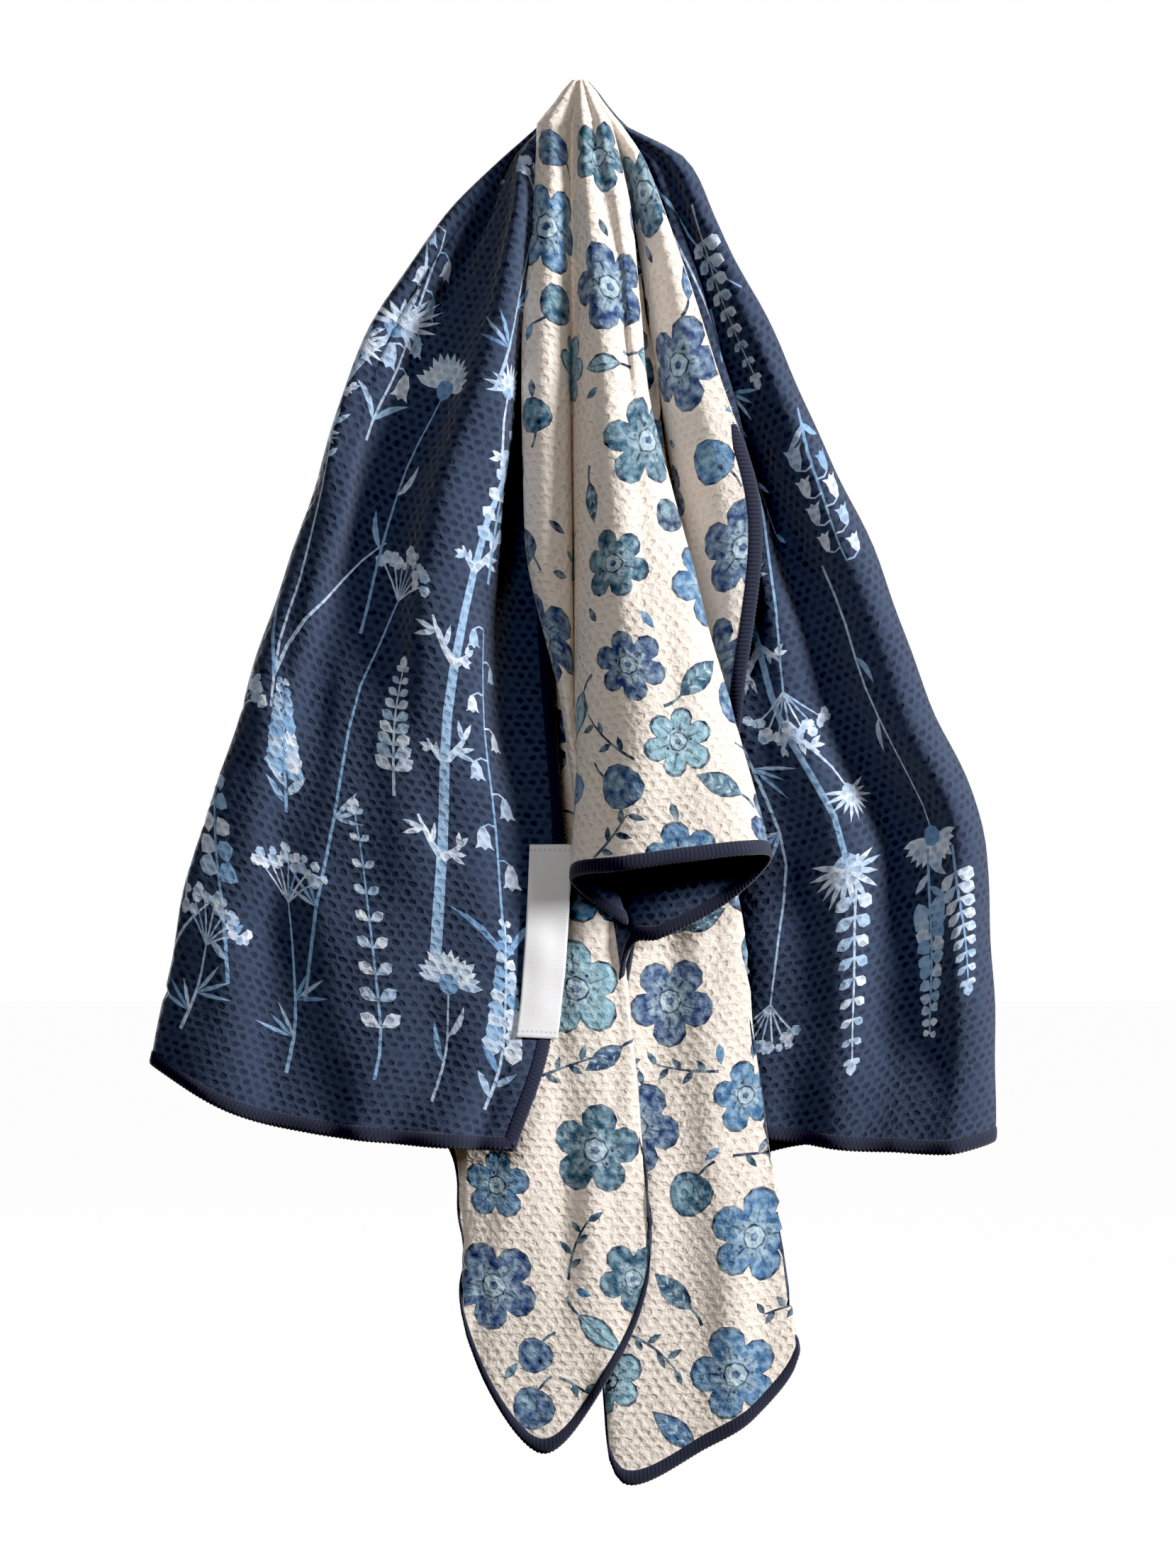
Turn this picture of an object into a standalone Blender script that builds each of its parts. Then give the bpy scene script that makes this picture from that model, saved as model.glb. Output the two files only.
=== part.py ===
"""Hand towel hung up by one point near the middle of a long edge, with a woven label sewn to that edge.

The towel is one thin closed sheet. Its folds run down from the hang point like the ribs of a half-closed
umbrella. The origin is the hang point, X is to the viewer's right, -Y is towards the viewer and Z is up.
The folds are given in millimetres: x to the right, f towards the viewer, and the drop below the hang point.
"""

from collections import namedtuple

import bmesh
import bpy
import numpy as np

MM = 0.001

# The cloth and how finely it is divided
CLOTH_THICKNESS = 1.2
STEPS_PER_FOLD = 2
CROWN_ROWS = 5
HANGING_ROWS = 16
ROW_SPREAD = 1.4

# The crown is the gathered cloth above the neck: its section shrinks towards the hang point
NECK_DROP = 16.0
CROWN_CENTRE_F = -8.0
CROWN_SHAPE = ((0.0, 0.0), (0.8, 0.17), (3.0, 0.32), (7.0, 0.5), (11.0, 0.7), (NECK_DROP, 1.0))

# The label, sewn flat on the cloth beside its free edge
LABEL_TOP_DROP = 271.0
LABEL_LENGTH = 68.0
LABEL_WIDTH = 15.0
LABEL_OVERHANG = 2.5
LABEL_THICKNESS = 1.0
LABEL_GAP = 0.5
LABEL_ROWS = 9
LABEL_STEPS = 4
LABEL_FOLDS = 3

NAVY = (0.016, 0.025, 0.06, 1.0)
WHITE = (0.82, 0.82, 0.8, 1.0)

# Each row is one fold line, in order along the cloth from the free edge at corner C, past corners A and B, to
# the free edge at corner D. x and f are read at the drop in the column's name, and None lies below the hem.
X_DROPS = (NECK_DROP, 28.0, 48.0, 98.0, 160.0, 223.0, 273.0, 335.0)
F_DROPS = (NECK_DROP, 48.0, 160.0, 223.0, 273.0)
Fold = namedtuple(
    "Fold",
    "name x16 x28 x48 x98 x160 x223 x273 x335 hem_x hem_drop f16 f48 f160 f223 f273 hem_f",
)
FOLD_ROWS = (
    ("edge_c", -4, -6, -9, -11.5, -13, -9, -6, -10, -23, 377.5, -13, -18, -22, -9, 2, 14),
    ("inner_left", -7, -11, -13, -16.5, -23, -23, -16.5, -18, -32, 377, -12, -13, -14, -3, 6, 15),
    ("shoulder_left", -10, -16.5, -17, -21, -32, -38, -32, -29.5, -43, 376.5, -9, 2, 4, 7, 10, 14),
    ("main_left", -12, -20, -22.5, -32, -51, -57, -54.5, -54.5, -64.5, 375, -9, 5, 12, 15, 16, 13),
    ("valley_left", -12.5, -24, -31, -57, -76, -87, -92, -94.5, -94.5, 371.5, -12, -10, -5, 0, 4, 8),
    ("outer_left", -13.5, -26, -39.5, -69.5, -87, -104.5, -114.5, -119.5, -121, 365, -12, -3, 4, 6, 6, 8),
    ("side_left", -14, -27, -46.5, -78, -98.5, -120, -135, -149, -151.5, 348, -12, -8, -5, -4, -4, -4),
    ("back_left_1", -12.5, -24, -41, -68, -86, -104.5, -117, -128, -129.5, 359, -15, -15, -16, -15, -15, -13),
    ("back_left_2", -10.5, -19, -29.5, -47, -59.5, -72, -79.5, -84.5, -84.5, 369, -18, -21, -24, -23, -22, -18),
    ("back_left_3", -9, -14.5, -21, -29.5, -37, -43, -47, -49.5, -50, 373.5, -19.5, -25, -28, -27, -24, -14),
    ("tail_left_top", -7, -12, -17, -24, -29.5, -35, -39, -41, -42, 403, -20, -26, -29, -26, -20, -7),
    ("tail_left_side", -5.5, -10, -14, -19.5, -24, -29.5, -32.5, -36, -39, 447, -20.5, -26, -28, -22, -14, -1),
    ("corner_a", -4, -8, -11, -14.5, -16, -17, -17, -16.5, -13, 484.5, -20.5, -26, -27, -19, -9, 4),
    ("tail_left_right", -2.5, -5.5, -7, -8, -6.5, -3, -2, 2.5, 9, 460, -20, -25, -26, -19, -10, 3),
    ("tail_left_fold", -1, -4, -4.5, -3, 1, 7, 8.5, 17, 24.5, 422, -19, -25, -25, -20, -12, -1),
    ("pleat_left", -2.5, -6, -8, -8, -6, -1, 4, None, 15.5, 335, -22, -29, -31, -25, -17, -8),
    ("gap_left", -1.5, -3, -3, -1.5, 2.5, 8.5, 15, None, 18, 300, -17, -22, -20, -18, -15, -10),
    ("lead_left", -3, -5, -6, -6, -5, 2, 9, None, 7.5, 292, -10, -10, -10, -8, -5, -4),
    ("ridge_a_left", -14.5, -15, -16, -20, -19, -6, 0, None, 0.5, 290, -5, 0, 1, -2, -4, -3),
    ("ridge_a_crest", -11, -10, -10.5, -12.5, -12.5, -4.5, 2, None, 3, 289, 3, 7, 9, 4, 0, 1),
    ("ridge_a_right", -5.5, -5.5, -5.5, -5.5, -5, -3, 6, None, 7, 289, 2, 4, 5, 2, -1, 0),
    ("groove", -3, -3, -3, -3, -2.5, -1.5, 9, None, 16.5, 298.5, -2, -1, -9, -5, 1, 3),
    ("column_left", -0.5, -0.5, 0, 1, 1, 0, -2.5, None, -3, 283, 4, 4, 8, 9, 10, 10),
    ("column_crest_left", 1, 1.5, 3, 7, 12, 14, 15.5, None, 15.5, 279, 8, 9, 20, 24, 26, 26),
    ("column_crease", 5, 6, 10, 17, 20.5, 29, 37, None, 37, 276, 6, 6, 21, 26, 28, 28),
    ("column_crest_right", 7.5, 9.5, 13.5, 19, 29, 42, 55.5, None, 57, 274, 8, 8, 17, 21, 22, 22),
    ("column_right", 10.5, 13.5, 17.5, 22, 35, 52.5, 66, None, 67, 275, 2, 2, 9, 11, 12, 12),
    ("behind_column_1", 8, 11, 14.5, 18.5, 28, 42, 52, None, 53, 290, -3, -4, -2, 0, 2, 3),
    ("behind_column_2", 5.5, 7.5, 9.5, 12, 17, 24, 30.5, None, 28, 303.5, -5, -7, -6, -4, -2, 0),
    ("behind_column_end", 3.5, 5, 6, 8, 11, 15.5, 19, None, 18.5, 306, -7, -10, -13, -9, -6, -5),
    ("b_fold_upper", 3, 5, 6, 7.5, 9.5, 14, 17.5, 11.5, 13.5, 398, -9, -14, -18, -14, -10, -13),
    ("corner_b", 3.5, 5, 6.5, 8.5, 11, 16, 20, 13, 15, 496, -12, -17, -21, -18, -14, -6),
    ("tail_right_1", 5.5, 9, 12, 18, 23.5, 29, 33, 35, 45.5, 483.5, -13, -17, -19, -18, -16, -6),
    ("tail_right_2", 7.5, 11, 15, 22, 29, 37.5, 43, 49, 62, 473, -13, -17, -19, -18, -16, -5),
    ("tail_right_fold", 9, 13.5, 18.5, 26, 34, 45.5, 54, 62, 77, 450.5, -14, -19, -22, -21, -19, -10),
    ("behind_tail", 7.5, 11, 14.5, 20.5, 27, 34, 39, 42, 42, 423, -17, -23, -27, -26, -24, -15),
    ("turn_right_back", 5.5, 8, 10.5, 15.5, 20.5, 25.5, 28.5, 30, 30, 398, -21, -30, -38, -37, -36, -26),
    ("back_right_1", 9, 15.5, 22, 30.5, 40.5, 50.5, 58, 62, 69, 381, -23, -33, -43, -43, -43, -38),
    ("back_right_2", 12, 24, 37, 54, 68, 80.5, 90.5, 94, 95.5, 377.5, -22, -32, -41, -42, -42, -38),
    ("back_right_3", 14.5, 32, 43, 65.5, 90.5, 113, 128, 129, 129, 376, -19, -26, -33, -34, -34, -30),
    ("side_right", 16, 38, 48, 72, 101.5, 125, 144.5, 147, 147, 376, -15, -18, -22, -21, -20, -18),
    ("outer_right", 14.5, 34, 44, 67, 93, 115.5, 134, 134, 133, 380, -12, -13, -12, -10, -8, -8),
    ("valley_right", 12.5, 29, 35.5, 50.5, 70.5, 93, 113, 113, 112, 380, -15, -19, -26, -26, -26, -18),
    ("inner_crest_right", 11.5, 25.5, 32, 45.5, 60.5, 73, 90.5, 93, 92, 379, -14, -17, -20, -19, -17, -14),
    ("inner_slope_right", 10.5, 22, 27, 38, 48, 58, 68, 70.5, 69, 376, -16, -21, -26, -26, -26, -22),
    ("lapel_turn", 9, 16, 20, 28, 36, 41, 42, 42, 42, 375.5, -16.5, -25, -33, -32, -31, -28),
    ("lapel_inner", 9.5, 16.5, 21.5, 29, 41, 48, 45, 46, 46.5, 375.5, -8, -10, -16, -20, -28, -25),
    ("lapel_middle", 12, 20, 27, 38.5, 51, 53, 49, 50, 50, 376, -3, -2, -5, -13, -26.5, -23),
    ("edge_d", 14, 22, 30, 47, 64, 57, 53, 54, 54, 376, -6, -5, -6, -11, -26, -22),
)
FOLDS = [Fold(*row) for row in FOLD_ROWS]
CLEAR_OF_HEM = 8.0


def smooth_curve(knots, values, at):
    """Read a curve through the knots that doesn't overshoot its values."""
    knots = np.asarray(knots, float)
    values = np.asarray(values, float)
    step = np.diff(knots)
    rise = np.diff(values) / step
    slope = np.empty_like(values)
    slope[0], slope[-1] = rise[0], rise[-1]
    for i in range(1, len(values) - 1):
        if rise[i - 1] * rise[i] <= 0:
            slope[i] = 0.0
        else:
            before, after = 2 * step[i] + step[i - 1], step[i] + 2 * step[i - 1]
            slope[i] = (before + after) / (before / rise[i - 1] + after / rise[i])
    k = np.clip(np.searchsorted(knots, at) - 1, 0, len(step) - 1)
    t = (at - knots[k]) / step[k]
    start = values[k] * (2 * t**3 - 3 * t**2 + 1) + values[k + 1] * (3 * t**2 - 2 * t**3)
    return start + step[k] * (slope[k] * (t**3 - 2 * t**2 + t) + slope[k + 1] * (t**3 - t**2))


def fold_curves(fold):
    """The knots and values of a fold line's x and of its f, from the neck to the hem."""
    curves = []
    for axis, drops, hem in (("x", X_DROPS, fold.hem_x), ("f", F_DROPS, fold.hem_f)):
        kept = [drop for drop in drops if drop < fold.hem_drop - CLEAR_OF_HEM]
        values = [getattr(fold, f"{axis}{drop:.0f}") for drop in kept]
        curves.append((kept + [fold.hem_drop], values + [hem]))
    return curves


def fold_line(fold):
    """Points (x, f, drop) down one fold line, from the hang point through the crown and neck to the hem."""
    (x_knots, x_values), (f_knots, f_values) = fold_curves(fold)
    crown_drops, crown_shares = zip(*CROWN_SHAPE)
    points = []
    for row in range(CROWN_ROWS):
        share = crown_shares[row]
        f = CROWN_CENTRE_F + (fold.f16 - CROWN_CENTRE_F) * share
        points.append((fold.x16 * share, f, crown_drops[row]))
    for row in range(HANGING_ROWS + 1):
        drop = NECK_DROP + (fold.hem_drop - NECK_DROP) * (row / HANGING_ROWS) ** ROW_SPREAD
        x = smooth_curve(x_knots, x_values, drop)
        f = smooth_curve(f_knots, f_values, drop)
        points.append((x, f, drop))
    return points


def across_folds(points, steps):
    """A centripetal Catmull-Rom curve through one row's fold points, with the same steps between each pair."""
    points = np.asarray(points, float)
    ends = (2 * points[0] - points[1], 2 * points[-1] - points[-2])
    padded = np.vstack([ends[0], points, ends[1]])
    curve = [points[0]]
    for i in range(1, len(padded) - 2):
        near = padded[i - 1 : i + 3]
        spans = np.maximum(np.linalg.norm(np.diff(near, axis=0), axis=1), 1e-6) ** 0.5
        t0, t1 = 0.0, spans[0]
        t2, t3 = t1 + spans[1], t1 + spans[1] + spans[2]
        for t in np.linspace(t1, t2, steps + 1)[1:]:
            a1 = (near[0] * (t1 - t) + near[1] * (t - t0)) / (t1 - t0)
            a2 = (near[1] * (t2 - t) + near[2] * (t - t1)) / (t2 - t1)
            a3 = (near[2] * (t3 - t) + near[3] * (t - t2)) / (t3 - t2)
            b1 = (a1 * (t2 - t) + a2 * (t - t0)) / (t2 - t0)
            b2 = (a2 * (t3 - t) + a3 * (t - t1)) / (t3 - t1)
            curve.append((b1 * (t2 - t) + b2 * (t - t1)) / (t2 - t1))
    return np.array(curve)


def cloth_surface():
    """The middle surface of the towel as rows of (x, f, drop), the first row being the hang point."""
    lines = np.array([fold_line(fold) for fold in FOLDS])
    rows = [across_folds(lines[:, row], STEPS_PER_FOLD) for row in range(1, lines.shape[1])]
    top = np.repeat(lines[:1, 0], len(rows[0]), axis=0)
    return np.array([top] + rows)


def in_space(points):
    """World places in metres of points given as (x, f, drop) in millimetres."""
    return points * np.array([MM, -MM, -MM])


def normals_of(surface):
    """A unit normal at each point of a grid of points."""
    along = np.gradient(surface, axis=1)
    down = np.gradient(surface, axis=0)
    normals = np.cross(along, down)
    return normals / np.maximum(np.linalg.norm(normals, axis=2, keepdims=True), 1e-12)


def add_slab(name, front, back, material):
    """A closed slab between two grids of the same size, as a new object."""
    rows, columns = front.shape[:2]
    slab = bmesh.new()
    sides = [[[slab.verts.new(p) for p in row] for row in side] for side in (front, back)]
    for r in range(rows - 1):
        for c in range(columns - 1):
            for side, turned in zip(sides, (False, True)):
                corners = [side[r][c], side[r + 1][c], side[r + 1][c + 1], side[r][c + 1]]
                slab.faces.new(corners[::-1] if turned else corners)
    rim = [(r, 0) for r in range(rows)] + [(rows - 1, c) for c in range(1, columns)]
    rim += [(r, columns - 1) for r in range(rows - 2, -1, -1)] + [(0, c) for c in range(columns - 2, 0, -1)]
    for (r, c), (next_r, next_c) in zip(rim, rim[1:] + rim[:1]):
        slab.faces.new([sides[0][next_r][next_c], sides[0][r][c], sides[1][r][c], sides[1][next_r][next_c]])
    bmesh.ops.remove_doubles(slab, verts=slab.verts, dist=1e-6)
    if slab.calc_volume(signed=True) < 0:
        bmesh.ops.reverse_faces(slab, faces=slab.faces)
    mesh = bpy.data.meshes.new(name)
    slab.to_mesh(mesh)
    slab.free()
    mesh.shade_smooth()
    mesh.materials.append(material)
    made = bpy.data.objects.new(name, mesh)
    bpy.context.collection.objects.link(made)
    return made


def cloth_material(name, colour, roughness):
    material = bpy.data.materials.new(name)
    material.use_nodes = True
    shader = material.node_tree.nodes["Principled BSDF"]
    shader.inputs["Base Color"].default_value = colour
    shader.inputs["Roughness"].default_value = roughness
    shader.inputs["Metallic"].default_value = 0.0
    return material


def add_towel(surface):
    middle = in_space(surface)
    normals = normals_of(middle)
    normals[0] = (0.0, 0.0, 1.0)
    offset = CLOTH_THICKNESS / 2 * MM * normals
    return add_slab("towel", middle + offset, middle - offset, cloth_material("navy", NAVY, 0.95))


def label_surface(surface):
    """The cloth's surface under the label: rows down the free edge, and steps from just past it inwards."""
    inwards = np.linspace(-LABEL_OVERHANG, LABEL_WIDTH - LABEL_OVERHANG, LABEL_STEPS + 1)
    patch = []
    for drop in np.linspace(LABEL_TOP_DROP, LABEL_TOP_DROP + LABEL_LENGTH, LABEL_ROWS):
        columns = [surface[:, c] for c in range(LABEL_FOLDS * STEPS_PER_FOLD + 1)]
        section = [[np.interp(drop, line[:, 2], line[:, axis]) for axis in range(3)] for line in columns]
        section = np.array(section)
        outwards = (section[0] - section[1]) / np.linalg.norm(section[0] - section[1])
        section = np.vstack([section[0] + LABEL_OVERHANG * outwards, section])
        lengths = np.cumsum(np.linalg.norm(np.diff(section, axis=0), axis=1))
        lengths = np.concatenate([[0.0], lengths]) - LABEL_OVERHANG
        patch.append([[np.interp(at, lengths, section[:, axis]) for axis in range(3)] for at in inwards])
    return np.array(patch)


def add_label(surface):
    middle = in_space(label_surface(surface))
    normals = normals_of(middle)
    if normals[:, :, 1].mean() > 0:
        normals = -normals
    under = (CLOTH_THICKNESS / 2 + LABEL_GAP) * MM * normals
    over = under + LABEL_THICKNESS * MM * normals
    return add_slab("label", middle + over, middle + under, cloth_material("white", WHITE, 0.7))


for old in list(bpy.data.objects):
    bpy.data.objects.remove(old)
cloth = cloth_surface()
add_towel(cloth)
add_label(cloth)
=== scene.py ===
"""Looks of a hand towel that hangs from one point: two-sided waffle cloth, overlocked edge, sewn label.

Lengths on the cloth are in millimetres: x to the viewer's right, f towards the viewer, and the drop below the
hang point. They become metres in the frame's axes, with +Z up and -Y towards the viewer.
"""

import math
import random
from collections import namedtuple

import bpy
import numpy as np
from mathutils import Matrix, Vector
from mathutils.geometry import delaunay_2d_cdt


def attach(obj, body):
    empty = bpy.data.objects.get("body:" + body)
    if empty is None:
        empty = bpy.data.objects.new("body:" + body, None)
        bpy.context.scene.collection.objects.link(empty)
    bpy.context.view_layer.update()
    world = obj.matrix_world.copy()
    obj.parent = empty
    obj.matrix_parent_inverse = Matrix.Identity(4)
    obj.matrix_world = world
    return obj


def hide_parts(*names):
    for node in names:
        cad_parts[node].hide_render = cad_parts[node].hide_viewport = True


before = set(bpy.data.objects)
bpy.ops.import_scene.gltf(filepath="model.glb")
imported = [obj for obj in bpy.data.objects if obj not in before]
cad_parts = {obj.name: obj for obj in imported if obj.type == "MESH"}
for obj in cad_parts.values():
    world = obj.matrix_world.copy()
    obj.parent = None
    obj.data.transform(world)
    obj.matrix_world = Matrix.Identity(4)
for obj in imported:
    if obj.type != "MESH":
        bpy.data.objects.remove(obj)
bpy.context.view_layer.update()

# The cloth's drape
# One cut length of thin waffle cloth, 35 x 80 cm, hung near the middle of a long edge. Each row of the table
# is one fold line, in order along the cloth from the free edge at corner C, past corners A and B, to the free
# edge at corner D. x and f are read at the drop in the column's name, and None lies below the hem.
MM = 0.001
CLOTH_THICKNESS = 1.2
NECK_DROP = 16.0
CROWN_CENTRE_F = -8.0
CROWN_SHAPE = ((0.0, 0.0), (0.8, 0.17), (3.0, 0.32), (7.0, 0.5), (11.0, 0.7), (NECK_DROP, 1.0))
X_DROPS = (NECK_DROP, 28.0, 48.0, 98.0, 160.0, 223.0, 273.0, 335.0)
F_DROPS = (NECK_DROP, 48.0, 160.0, 223.0, 273.0)
CLEAR_OF_HEM = 8.0
Fold = namedtuple(
    "Fold",
    "name x16 x28 x48 x98 x160 x223 x273 x335 hem_x hem_drop f16 f48 f160 f223 f273 hem_f",
)
FOLD_ROWS = (
    ("edge_c", -4, -6, -9, -11.5, -13, -9, -6, -10, -23, 377.5, -13, -18, -22, -9, 2, 14),
    ("inner_left", -7, -11, -13, -16.5, -23, -23, -16.5, -18, -32, 377, -12, -13, -14, -3, 6, 15),
    ("shoulder_left", -10, -16.5, -17, -21, -32, -38, -32, -29.5, -43, 376.5, -9, 2, 4, 7, 10, 14),
    ("main_left", -12, -20, -22.5, -32, -51, -57, -54.5, -54.5, -64.5, 375, -9, 5, 12, 15, 16, 13),
    ("valley_left", -12.5, -24, -31, -57, -76, -87, -92, -94.5, -94.5, 371.5, -12, -10, -5, 0, 4, 8),
    ("outer_left", -13.5, -26, -39.5, -69.5, -87, -104.5, -114.5, -119.5, -121, 365, -12, -3, 4, 6, 6, 8),
    ("side_left", -14, -27, -46.5, -78, -98.5, -120, -135, -149, -151.5, 348, -12, -8, -5, -4, -4, -4),
    ("back_left_1", -12.5, -24, -41, -68, -86, -104.5, -117, -128, -129.5, 359, -15, -15, -16, -15, -15, -13),
    ("back_left_2", -10.5, -19, -29.5, -47, -59.5, -72, -79.5, -84.5, -84.5, 369, -18, -21, -24, -23, -22, -18),
    ("back_left_3", -9, -14.5, -21, -29.5, -37, -43, -47, -49.5, -50, 373.5, -19.5, -25, -28, -27, -24, -14),
    ("tail_left_top", -7, -12, -17, -24, -29.5, -35, -39, -41, -42, 403, -20, -26, -29, -26, -20, -7),
    ("tail_left_side", -5.5, -10, -14, -19.5, -24, -29.5, -32.5, -36, -39, 447, -20.5, -26, -28, -22, -14, -1),
    ("corner_a", -4, -8, -11, -14.5, -16, -17, -17, -16.5, -13, 484.5, -20.5, -26, -27, -19, -9, 4),
    ("tail_left_right", -2.5, -5.5, -7, -8, -6.5, -3, -2, 2.5, 9, 460, -20, -25, -26, -19, -10, 3),
    ("tail_left_fold", -1, -4, -4.5, -3, 1, 7, 8.5, 17, 24.5, 422, -19, -25, -25, -20, -12, -1),
    ("pleat_left", -2.5, -6, -8, -8, -6, -1, 4, None, 15.5, 335, -22, -29, -31, -25, -17, -8),
    ("gap_left", -1.5, -3, -3, -1.5, 2.5, 8.5, 15, None, 18, 300, -17, -22, -20, -18, -15, -10),
    ("lead_left", -3, -5, -6, -6, -5, 2, 9, None, 7.5, 292, -10, -10, -10, -8, -5, -4),
    ("ridge_a_left", -14.5, -15, -16, -20, -19, -6, 0, None, 0.5, 290, -5, 0, 1, -2, -4, -3),
    ("ridge_a_crest", -11, -10, -10.5, -12.5, -12.5, -4.5, 2, None, 3, 289, 3, 7, 9, 4, 0, 1),
    ("ridge_a_right", -5.5, -5.5, -5.5, -5.5, -5, -3, 6, None, 7, 289, 2, 4, 5, 2, -1, 0),
    ("groove", -3, -3, -3, -3, -2.5, -1.5, 9, None, 16.5, 298.5, -2, -1, -9, -5, 1, 3),
    ("column_left", -0.5, -0.5, 0, 1, 1, 0, -2.5, None, -3, 283, 4, 4, 8, 9, 10, 10),
    ("column_crest_left", 1, 1.5, 3, 7, 12, 14, 15.5, None, 15.5, 279, 8, 9, 20, 24, 26, 26),
    ("column_crease", 5, 6, 10, 17, 20.5, 29, 37, None, 37, 276, 6, 6, 21, 26, 28, 28),
    ("column_crest_right", 7.5, 9.5, 13.5, 19, 29, 42, 55.5, None, 57, 274, 8, 8, 17, 21, 22, 22),
    ("column_right", 10.5, 13.5, 17.5, 22, 35, 52.5, 66, None, 67, 275, 2, 2, 9, 11, 12, 12),
    ("behind_column_1", 8, 11, 14.5, 18.5, 28, 42, 52, None, 53, 290, -3, -4, -2, 0, 2, 3),
    ("behind_column_2", 5.5, 7.5, 9.5, 12, 17, 24, 30.5, None, 28, 303.5, -5, -7, -6, -4, -2, 0),
    ("behind_column_end", 3.5, 5, 6, 8, 11, 15.5, 19, None, 18.5, 306, -7, -10, -13, -9, -6, -5),
    ("b_fold_upper", 3, 5, 6, 7.5, 9.5, 14, 17.5, 11.5, 13.5, 398, -9, -14, -18, -14, -10, -13),
    ("corner_b", 3.5, 5, 6.5, 8.5, 11, 16, 20, 13, 15, 496, -12, -17, -21, -18, -14, -6),
    ("tail_right_1", 5.5, 9, 12, 18, 23.5, 29, 33, 35, 45.5, 483.5, -13, -17, -19, -18, -16, -6),
    ("tail_right_2", 7.5, 11, 15, 22, 29, 37.5, 43, 49, 62, 473, -13, -17, -19, -18, -16, -5),
    ("tail_right_fold", 9, 13.5, 18.5, 26, 34, 45.5, 54, 62, 77, 450.5, -14, -19, -22, -21, -19, -10),
    ("behind_tail", 7.5, 11, 14.5, 20.5, 27, 34, 39, 42, 42, 423, -17, -23, -27, -26, -24, -15),
    ("turn_right_back", 5.5, 8, 10.5, 15.5, 20.5, 25.5, 28.5, 30, 30, 398, -21, -30, -38, -37, -36, -26),
    ("back_right_1", 9, 15.5, 22, 30.5, 40.5, 50.5, 58, 62, 69, 381, -23, -33, -43, -43, -43, -38),
    ("back_right_2", 12, 24, 37, 54, 68, 80.5, 90.5, 94, 95.5, 377.5, -22, -32, -41, -42, -42, -38),
    ("back_right_3", 14.5, 32, 43, 65.5, 90.5, 113, 128, 129, 129, 376, -19, -26, -33, -34, -34, -30),
    ("side_right", 16, 38, 48, 72, 101.5, 125, 144.5, 147, 147, 376, -15, -18, -22, -21, -20, -18),
    ("outer_right", 14.5, 34, 44, 67, 93, 115.5, 134, 134, 133, 380, -12, -13, -12, -10, -8, -8),
    ("valley_right", 12.5, 29, 35.5, 50.5, 70.5, 93, 113, 113, 112, 380, -15, -19, -26, -26, -26, -18),
    ("inner_crest_right", 11.5, 25.5, 32, 45.5, 60.5, 73, 90.5, 93, 92, 379, -14, -17, -20, -19, -17, -14),
    ("inner_slope_right", 10.5, 22, 27, 38, 48, 58, 68, 70.5, 69, 376, -16, -21, -26, -26, -26, -22),
    ("lapel_turn", 9, 16, 20, 28, 36, 41, 42, 42, 42, 375.5, -16.5, -25, -33, -32, -31, -28),
    ("lapel_inner", 9.5, 16.5, 21.5, 29, 41, 48, 45, 46, 46.5, 375.5, -8, -10, -16, -20, -28, -25),
    ("lapel_middle", 12, 20, 27, 38.5, 51, 53, 49, 50, 50, 376, -3, -2, -5, -13, -26.5, -23),
    ("edge_d", 14, 22, 30, 47, 64, 57, 53, 54, 54, 376, -6, -5, -6, -11, -26, -22),
)
FOLDS = [Fold(*row) for row in FOLD_ROWS]

# The cloth is measured on a fine grid, with rows by level and columns by fold. A level is the drop on a fold
# line whose hem is NOMINAL_DROP down, so every fold line's hem is at the same level.
NOMINAL_DROP = 376.0
TOP_LEVEL = 0.8
FINE_SPLITS = 12
CROWN_ROWS, FINE_ROWS = 12, 200
CLOSER_AT_NECK = 1.15
# Creases and soft folds are waves of (length across, length down, height, phase). Each kind has a list of
# fold numbers and the share of its height that it has there.
CREASE_WAVES = (
    (61.0, 90.0, 0.45, 0.4),
    (37.0, 140.0, 0.35, 2.1),
    (23.0, 75.0, 0.22, 4.0),
    (90.0, 43.0, 0.3, 5.2),
)
SOFT_FOLDS = ((54.0, 900.0, 2.0, 1.2), (31.0, -620.0, 0.8, 3.0), (88.0, 260.0, 1.1, 0.3))
SOFT_FOLDS_AT = (0, 1.5, 5, 6.2, 11.3, 12.4, 14, 21.5, 23, 25.5, 26.5, 31, 32.5, 34.2, 40.5, 42, 44, 45.5, 48)
SOFT_FOLDS_SHARE = (0.1, 1, 1, 0.1, 0.1, 0.6, 0.1, 0, 0.4, 0.4, 0.1, 0.1, 0.6, 0.1, 0.1, 1, 1, 0, 0)
CREASES_AT = (0, 13.5, 14.5, 22, 23, 25.5, 26.5, 30, 31, 44, 45, 48)
CREASES_SHARE = (1, 1, 0.1, 0.1, 1, 1, 0.1, 0.1, 1, 1, 0.1, 0.1)
RELIEF_FROM, RELIEF_GROWS_OVER = 30.0, 60.0


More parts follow.
